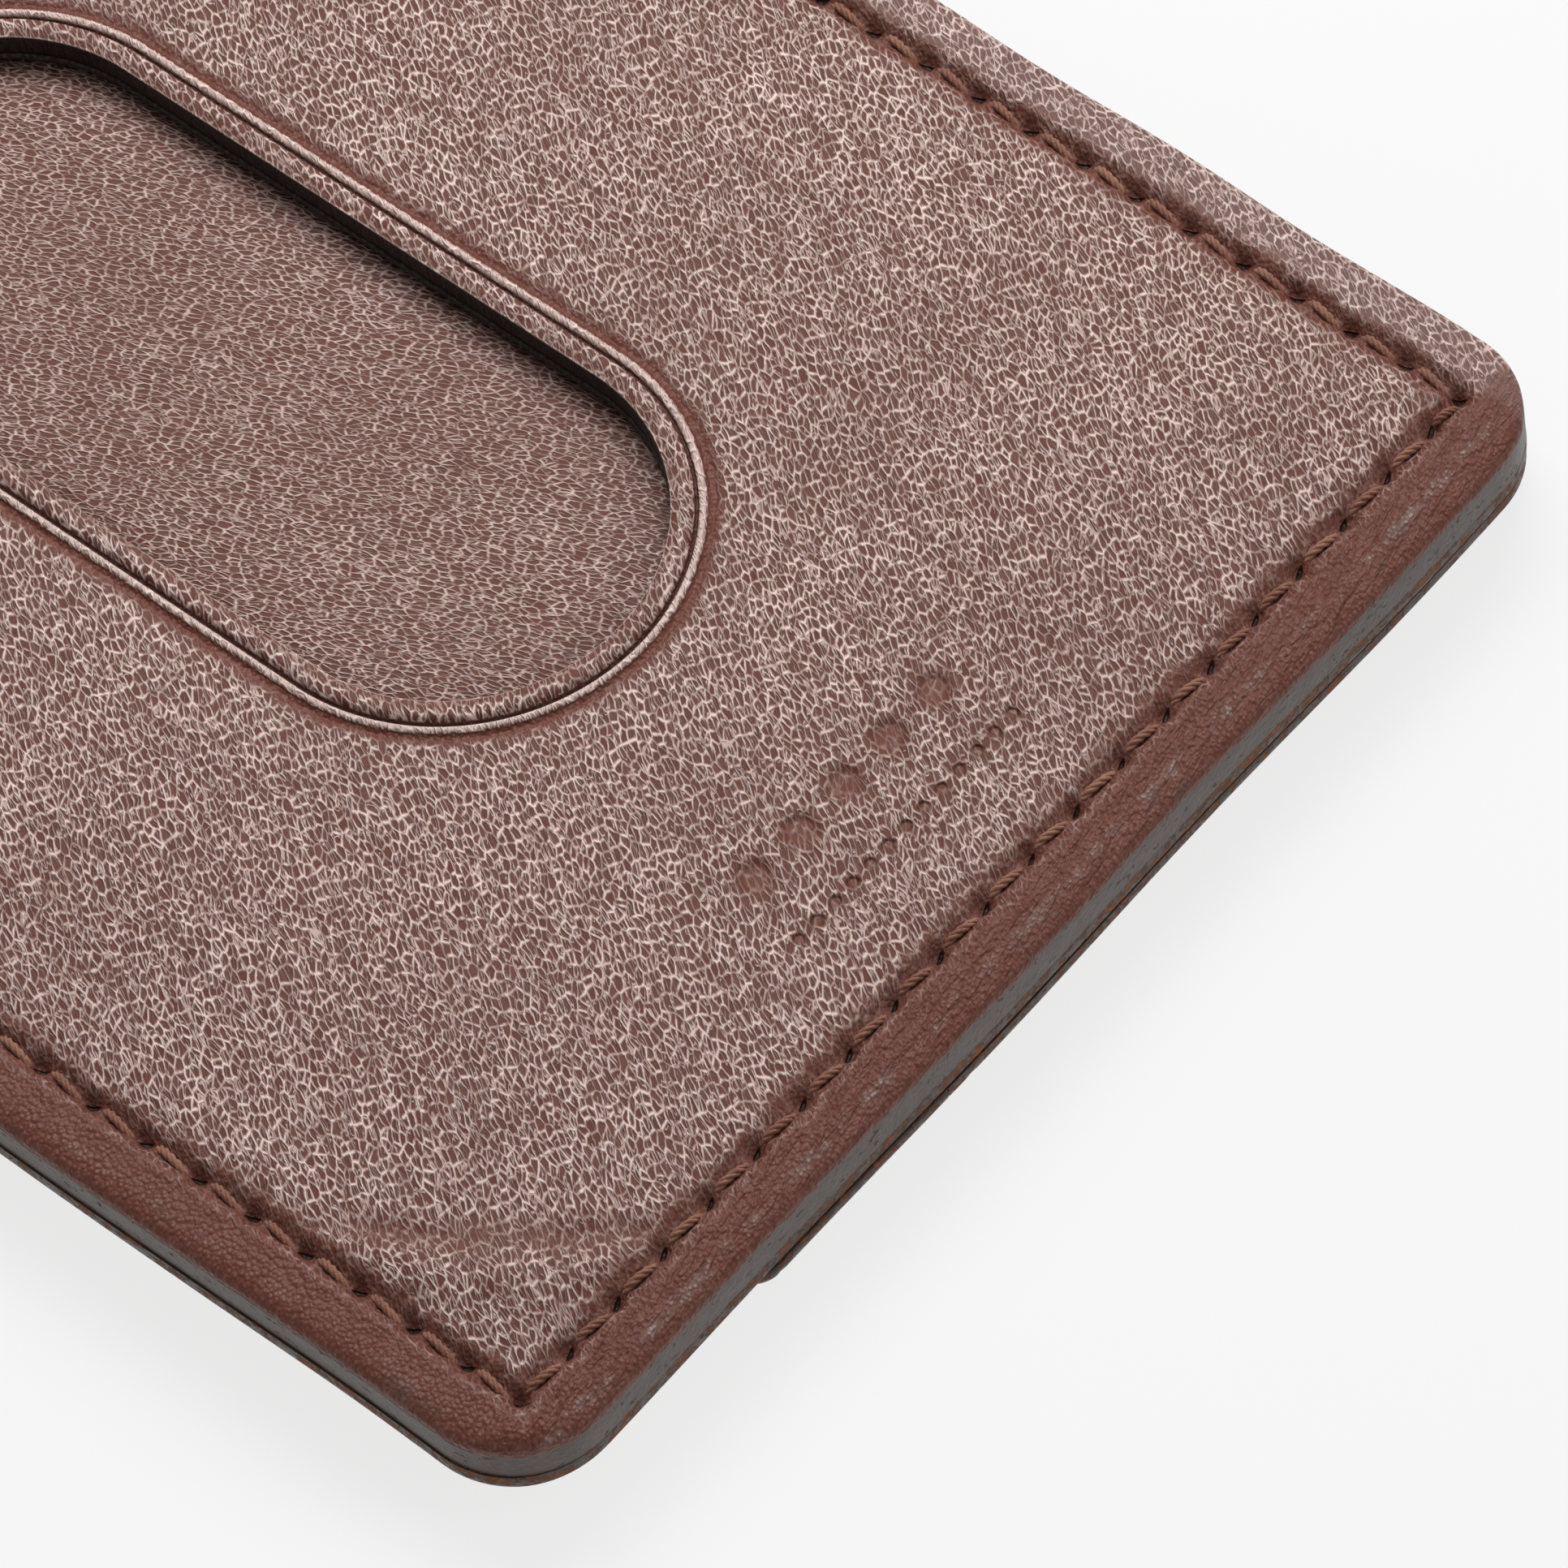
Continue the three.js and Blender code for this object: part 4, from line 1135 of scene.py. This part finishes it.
class CARDCASE_OT_backing(bpy.types.Operator):
    """Backing panel whose grain side shows through the thumb window"""
    bl_idname = "cardcase.backing"
    bl_label = "Window backing"

    def execute(self, context):
        settings = context.scene.card_case
        rows = {
            "under_rim": [0.0, 3.0], "under_mix": [0.3, 0.7], "under_edge": [7.5, 4.0, 0.3],
            "wall": [0.0, 0.33, 0.67, 1.0], "swell": 0.05, "edge": [0.1, 0.3, 1.0, 2.6, 3.2, 3.8, 5.0, 7.5],
            "mix": even_rows(14), "rim": [0.0, 2.0, 4.0, 6.0, 8.0]}
        sag = level(BACKING_HIGH[2] - 0.03, run=0.3, rise=0.1, wave=0.03, seed=4)

        def top(x, y, inset, offset):
            near = smoothstep(1.5, -1.0, window_distance(x, y))
            return sag(x, y, inset, offset) + 0.74 * near - 0.03

        piece = panel_mesh("backing_leather", tucked(OUTLINE), CORNER_RADII, BLANK_CORE,
                           top, level(BACKING_LOW[2] + 0.02, side=-1, rise=0.05), rows, wander, 0.6)
        material = leather("Backing leather", shared_groups(), settings, direction=-0.35, grain=0.88,
                           ridge=0.18,
                           rim_shadow_paint=True, paint_top=BACKING_HIGH[2] + 1.0, paint_low=BACKING_LOW[2] - 0.2,
                           rubbed=0.26, deep=0.8, dusk=0.25)
        finish_piece(piece, material, "backing_leather", "window_backing_panel")
        return {"FINISHED"}


def rear_shift(x, y, inset):
    """The rear layers sit a little towards the low long side, as glued by hand."""
    x2, y2 = wander(x, y, inset)
    grip = 1.0 - smoothstep(0.2, 3.0, np.broadcast_to(inset, x.shape))
    return x2, y2 - 0.10 * grip * smoothstep(-30.0, -35.0, y)


def outer_wander(x, y, inset):
    return wander(x, y, inset, 0.33)


class CARDCASE_OT_rear(bpy.types.Operator):
    """Rear base panel, slot strip and pocket panel"""
    bl_idname = "cardcase.rear"
    bl_label = "Rear panels"

    def execute(self, context):
        settings = context.scene.card_case
        pull = settings.sizes.pull / MM
        groups = shared_groups()
        rear = leather("Rear leather", groups, settings, direction=0.1, seams=True,
                       paint_top=EAR_LOW + 9.0, dark=0.60, rubbed=0.25)
        base = leather("Base leather", groups, settings, direction=0.05, seams=True,
                       paint_top=BASE_HIGH[2] + 9.0, dark=0.40, rubbed=0.27)
        dense = {"under_rim": [0.0, 4.0], "under_mix": even_rows(8),
                 "under_edge": [7.5, 6.5, 5.8, 5.2, 4.6] + spaced(4.2, 2.4, 0.2) + [1.8, 1.2, 0.9, 0.6, 0.3,
                                                                                    0.1],
                 "wall": [0.0, 0.25, 0.5, 0.75, 0.97, 1.0], "swell": 0.02, "edge": [0.03, 0.3, 2.0, 4.0, 7.5],
                 "mix": [0.5], "rim": [0.0, 4.0]}
        rear_holes = FRONT_HOLES

        def sewn(x, y, low):
            """Height of an underside with the stitches pressed into it."""
            return low - stitched(x, y, rear_holes, 3.0, pull) - stitched(x, y, MOUTH_HOLES, 3.0, pull)

        def base_under(x, y, inset, offset):
            return sewn(x, y, level(BASE_LOW[2] + 0.02, 0.35, 0.16, -1, 0.03, 6)(x, y, inset, offset))

        piece = panel_mesh("base_leather", OUTLINE, CORNER_RADII, BLANK_CORE,
                           level(BASE_HIGH[2] + 0.04, rise=0.0), base_under, dense, rear_shift, 0.42)
        finish_piece(piece, base, "rear_leather", "rear_base_panel")

        def bow(x, y, end):
            inner = SEAM_X - np.abs(x)
            if end is not None:
                inner = np.minimum(inner, end - y)
            return smoothstep(FORM_START, FORM_START + FORM_RUN, inner)

        def crease(distance):
            return 0.09 * dome(distance - 1.6, 0.18)

        strip_drop = EAR_LOW - STRIP_LOW[2]
        middle = (0.5 * (MOUTH_1 + STRIP_HIGH[1]))
        strip_rect = (-HALF_LENGTH, HALF_LENGTH, MOUTH_1, STRIP_HIGH[1])

        def strip_under(x, y, inset, offset):
            z = level(EAR_LOW + 0.01, 0.35, 0.2, -1, 0.02, 12)(x, y, inset, offset)
            return sewn(x, y, z) - strip_drop * bow(x, y, None) + crease(y - MOUTH_1)

        def strip_top(x, y, inset, offset):
            return np.full_like(x, BASE_LOW[2] - 0.01) - strip_drop * bow(x, y, None)

        def strip_warp(x, y, inset):
            lap = smoothstep(EAR_END + 0.27, EAR_END + 0.62, y)
            x2, y2 = outer_wander(x, y, inset)
            return x2 * (1 - lap * (1 - NECK_HALF / HALF_LENGTH)), y

        thin = {"under_rim": [0.0, 1.5], "under_mix": [0.3, 0.7],
                "under_edge": [5.0, 4.4] + spaced(4.0, 2.4, 0.2) + [1.9, 1.6, 1.3, 0.9, 0.5, 0.25, 0.1],
                "wall": [0.0, 0.25, 0.5, 0.75, 1.0], "swell": 0.06, "edge": [0.05, 0.3, 1.5, 3.0, 5.0],
                "mix": [0.5], "rim": [0.0, 1.5]}
        strip_core = (0.0, middle, HALF_LENGTH - 9.0, 0.0)
        piece = panel_mesh("slot_strip_leather", strip_rect, (1.6, 0.05, 0.05, 1.6), strip_core,
                           strip_top, strip_under, thin, strip_warp, 0.36)
        finish_piece(piece, rear, "rear_leather", "rear_slot_strip")

        pocket_drop = EAR_LOW - POCKET_LOW[2]
        pocket_rect = (-HALF_LENGTH, HALF_LENGTH, MOUTH_2, HALF_WIDTH)

        def pocket_under(x, y, inset, offset):
            z = level(EAR_LOW + 0.01, 0.45, 0.22, -1, 0.0, 14)(x, y, inset, offset)
            form_down = bow(x, y, SEAM_Y)
            z = z + 0.05 * (1 + ripple(x / 7.0, y / 7.0, 5, 33)) * form_down
            return sewn(x, y, z) - pocket_drop * form_down + crease(y - MOUTH_2)

        def pocket_top(x, y, inset, offset):
            return np.full_like(x, BASE_LOW[2] - 0.03) - pocket_drop * bow(x, y, SEAM_Y - 0.3)

        pocket_core = (0.0, 0.5 * (MOUTH_2 + HALF_WIDTH), HALF_LENGTH - 22.0, 0.0)
        piece = panel_mesh("pocket_leather", pocket_rect, (0.1, 4.8, CORNER, 0.1), pocket_core,
                           pocket_top, pocket_under, dense, outer_wander, 0.4)
        finish_piece(piece, rear, "rear_leather", "rear_pocket_panel")
        return {"FINISHED"}


class CARDCASE_OT_tongue(bpy.types.Operator):
    """Thin tongue that closes the first rear slot inside"""
    bl_idname = "cardcase.tongue"
    bl_label = "Slot tongue"

    def execute(self, context):
        rect = (TONGUE_LOW[0], TONGUE_HIGH[0], TONGUE_LOW[1], TONGUE_HIGH[1])
        thick = 0.2
        bend_from = TONGUE_LOW[1] + 3.5
        bend_to = TONGUE_HIGH[1] - 6.0

        def top(x, y, inset, offset):
            rise = smoothstep(bend_from, bend_to, y)
            low = TONGUE_LOW[2] + thick
            return low + (TONGUE_HIGH[2] - low) * rise - 0.01

        def under(x, y, inset, offset):
            return top(x, y, inset, offset) - thick + 0.02

        rows = {"under_rim": [0.0, 2.0], "under_mix": even_rows(4), "under_edge": [4.0, 2.0, 1.0, 0.3],
                "wall": [0.0, 0.5, 1.0], "swell": 0.02, "edge": [0.05, 0.3, 1.0, 2.0, 4.0],
                "mix": even_rows(4), "rim": [0.0, 2.0]}
        core = (0.0, 0.5 * (rect[2] + rect[3]), rect[1] - 14.0, 0.0)
        piece = panel_mesh("tongue_split", rect, (0.8, 0.8, 0.8, 0.8), core, top, under, rows, None, 0.8)
        finish_piece(piece, bpy.data.materials["Lining split"], "lining", "rear_slot_tongue")
        return {"FINISHED"}


class CARDCASE_OT_stitches(bpy.types.Operator):
    """All seams, one slanting three-ply stitch between each pair of needle holes"""
    bl_idname = "cardcase.stitches"
    bl_label = "Stitches"

    def execute(self, context):
        settings = context.scene.card_case
        sizes = settings.sizes
        groups = shared_groups()
        material = thread_material(groups, settings)
        tree = Kit.stitch
        slope = math.tan(sizes.slant)
        plain = {"Thread": sizes.thread, "Slope": slope}
        seat = sizes.thread / MM * 0.35 - sizes.pull / MM
        sew("front_stitches", at_height(FRONT_HOLES, FLANGE_TOP + seat), tree, material, (0.0, 0.0, 1.0),
            "front_seam_thread", Steps=13, Sides=7, **plain)
        rear = at_height(FRONT_HOLES, lambda holes: rear_level(holes) - seat)
        sew("rear_stitches", rear, tree, material, (0.0, 0.0, -1.0), "rear_seam_thread", **plain)
        mouth = at_height(MOUTH_HOLES, lambda holes: rear_level(holes) - seat)
        sew("mouth_stitches_rear", mouth, tree, material, (0.0, 0.0, -1.0), "mouth_seam_thread_rear", **plain)
        inner = at_height(MOUTH_HOLES, INNER_SEAM_TOP)
        sew("mouth_stitches_inner", inner, tree, material, (0.0, 0.0, 1.0), "mouth_seam_thread_inner",
            **plain)
        fine_y = 0.5 * (FINE_LOW[1] + FINE_HIGH[1])
        fine_z = 0.5 * (FINE_LOW[2] + FINE_HIGH[2])
        fine = at_height(np.array(hole_run((FINE_LOW[0] + 0.4, fine_y), (FINE_HIGH[0] - 0.4, fine_y))),
                         fine_z)
        sew("tongue_stitches", fine, tree, material, (0.0, 0.0, -1.0), "tongue_thread",
            Thread=sizes.fine_thread,
            Slope=slope * 0.5, Sink=0.12 * MM, Rise=0.0, Steps=8, Sides=5)
        return {"FINISHED"}


# ---- studio
LENS = 298.14
VIEW_AZIMUTH = math.radians(49.36)
VIEW_ELEVATION = math.radians(56.99)
VIEW_ROLL = math.radians(-10.85)
VIEW_DISTANCE = 0.58264
VIEW_AIM = Vector((0.03543, -0.00153, 0.0059))
SENSOR_WIDTH = 36.0
NEAR_CLIP = 0.01
FLOOR_HALF = 1.5
FLOOR_DROP = -0.0001              # keeps the floor clear of the rest face
FLOOR_GLOW = 0.77
BACK_POWER = 1.58
SIDE_POWER = 1.3
FILL_POWER = 0.2
WORLD_LIGHT = 0.25


def studio_light(name, direction, distance, size, power, colour=(1.0, 1.0, 1.0)):
    """Rectangular area light that faces the origin."""
    lamp = bpy.data.lights.new(name, "AREA")
    lamp.shape = "RECTANGLE"
    lamp.size, lamp.size_y = size
    lamp.energy = power
    lamp.color = colour
    light = bpy.data.objects.new(name, lamp)
    place = Vector(direction).normalized() * distance
    light.location = place
    light.rotation_euler = place.to_track_quat("Z", "Y").to_euler()
    bpy.context.scene.collection.objects.link(light)


class CARDCASE_OT_stage(bpy.types.Operator):
    """Pale floor, soft studio lights and the camera"""
    bl_idname = "cardcase.stage"
    bl_label = "Stage"

    def execute(self, context):
        scene = context.scene
        colours = scene.card_case.colours
        forward = Vector((-math.sin(VIEW_AZIMUTH) * math.cos(VIEW_ELEVATION),
                          math.cos(VIEW_AZIMUTH) * math.cos(VIEW_ELEVATION), -math.sin(VIEW_ELEVATION)))
        level_right = forward.cross(Vector((0, 0, 1))).normalized()
        level_up = level_right.cross(forward)
        right = level_right * math.cos(VIEW_ROLL) + level_up * math.sin(VIEW_ROLL)
        up = level_up * math.cos(VIEW_ROLL) - level_right * math.sin(VIEW_ROLL)
        lens = bpy.data.cameras.new("Camera")
        lens.lens = LENS
        lens.sensor_width = SENSOR_WIDTH
        lens.clip_start = NEAR_CLIP
        camera = bpy.data.objects.new("Camera", lens)
        scene.collection.objects.link(camera)
        matrix = camera.matrix_world.copy()
        place = VIEW_AIM - forward * VIEW_DISTANCE
        for row in range(3):
            matrix[row][0], matrix[row][1], matrix[row][2] = right[row], up[row], -forward[row]
            matrix[row][3] = place[row]
        camera.matrix_world = matrix
        scene.camera = camera

        work = bmesh.new()
        bmesh.ops.create_grid(work, x_segments=8, y_segments=8, size=FLOOR_HALF)
        mesh = bpy.data.meshes.new("floor")
        work.to_mesh(mesh)
        work.free()
        mesh.transform(Matrix.Translation((0, 0, FLOOR_DROP)))
        floor = bpy.data.objects.new("floor", mesh)
        scene.collection.objects.link(floor)
        material, n, shader, place = new_material("Pale floor")
        cloud = n.noise(place, 0.004, 2.0)
        n.put(shader.inputs["Base Color"], n.mix(cloud, colours.floor, [c * 0.985 for c in colours.floor]))
        shader.inputs["Roughness"].default_value = 0.9
        shader.inputs["Specular IOR Level"].default_value = 0.0
        shader.inputs["Emission Color"].default_value = (1.0, 1.0, 1.0, 1.0)
        shader.inputs["Emission Strength"].default_value = FLOOR_GLOW
        mesh.materials.append(material)

        studio_light("Back softbox", (-0.34, 0.43, 0.76), 0.38, (0.32, 0.25), BACK_POWER)
        studio_light("Side softbox", (0.75, 0.55, 0.60), 0.80, (0.30, 0.50), SIDE_POWER)
        studio_light("Front fill", (0.50, -0.80, 0.75), 0.90, (0.60, 0.60), FILL_POWER)
        world = bpy.data.worlds.new("Studio")
        world.use_nodes = True
        world.node_tree.nodes["Background"].inputs["Color"].default_value = (1.0, 1.0, 1.0, 1.0)
        world.node_tree.nodes["Background"].inputs["Strength"].default_value = WORLD_LIGHT
        scene.world = world
        scene.view_settings.view_transform = "Standard"
        return {"FINISHED"}


class CARDCASE_PT_panel(bpy.types.Panel):
    """Lists the sizes, the colours and the pieces of the card case"""
    bl_idname = "CARDCASE_PT_panel"
    bl_label = "Card case"
    bl_space_type = "VIEW_3D"
    bl_region_type = "UI"
    bl_category = "Card case"

    def draw(self, context):
        settings = context.scene.card_case
        for group in (settings.sizes, settings.colours):
            box = self.layout.box()
            for name in group.bl_rna.properties.keys():
                if name not in ("rna_type", "name"):
                    box.prop(group, name)
        for operator in OPERATORS:
            self.layout.operator(operator.bl_idname)


OPERATORS = (CARDCASE_OT_stage, CARDCASE_OT_front, CARDCASE_OT_lining, CARDCASE_OT_backing, CARDCASE_OT_rear,
             CARDCASE_OT_tongue, CARDCASE_OT_stitches)
CLASSES = (CaseSizes, CaseColours, CaseSettings) + OPERATORS + (CARDCASE_PT_panel,)


def register():
    for cls in CLASSES:
        bpy.utils.register_class(cls)
    bpy.types.Scene.card_case = bpy.props.PointerProperty(type=CaseSettings)


def unregister():
    del bpy.types.Scene.card_case
    for cls in reversed(CLASSES):
        bpy.utils.unregister_class(cls)


def main():
    register()
    bpy.ops.cardcase.stage()
    bpy.ops.cardcase.front()
    bpy.ops.cardcase.lining()
    bpy.ops.cardcase.backing()
    bpy.ops.cardcase.rear()
    bpy.ops.cardcase.tongue()
    bpy.ops.cardcase.stitches()


if __name__ == "__main__":
    main()
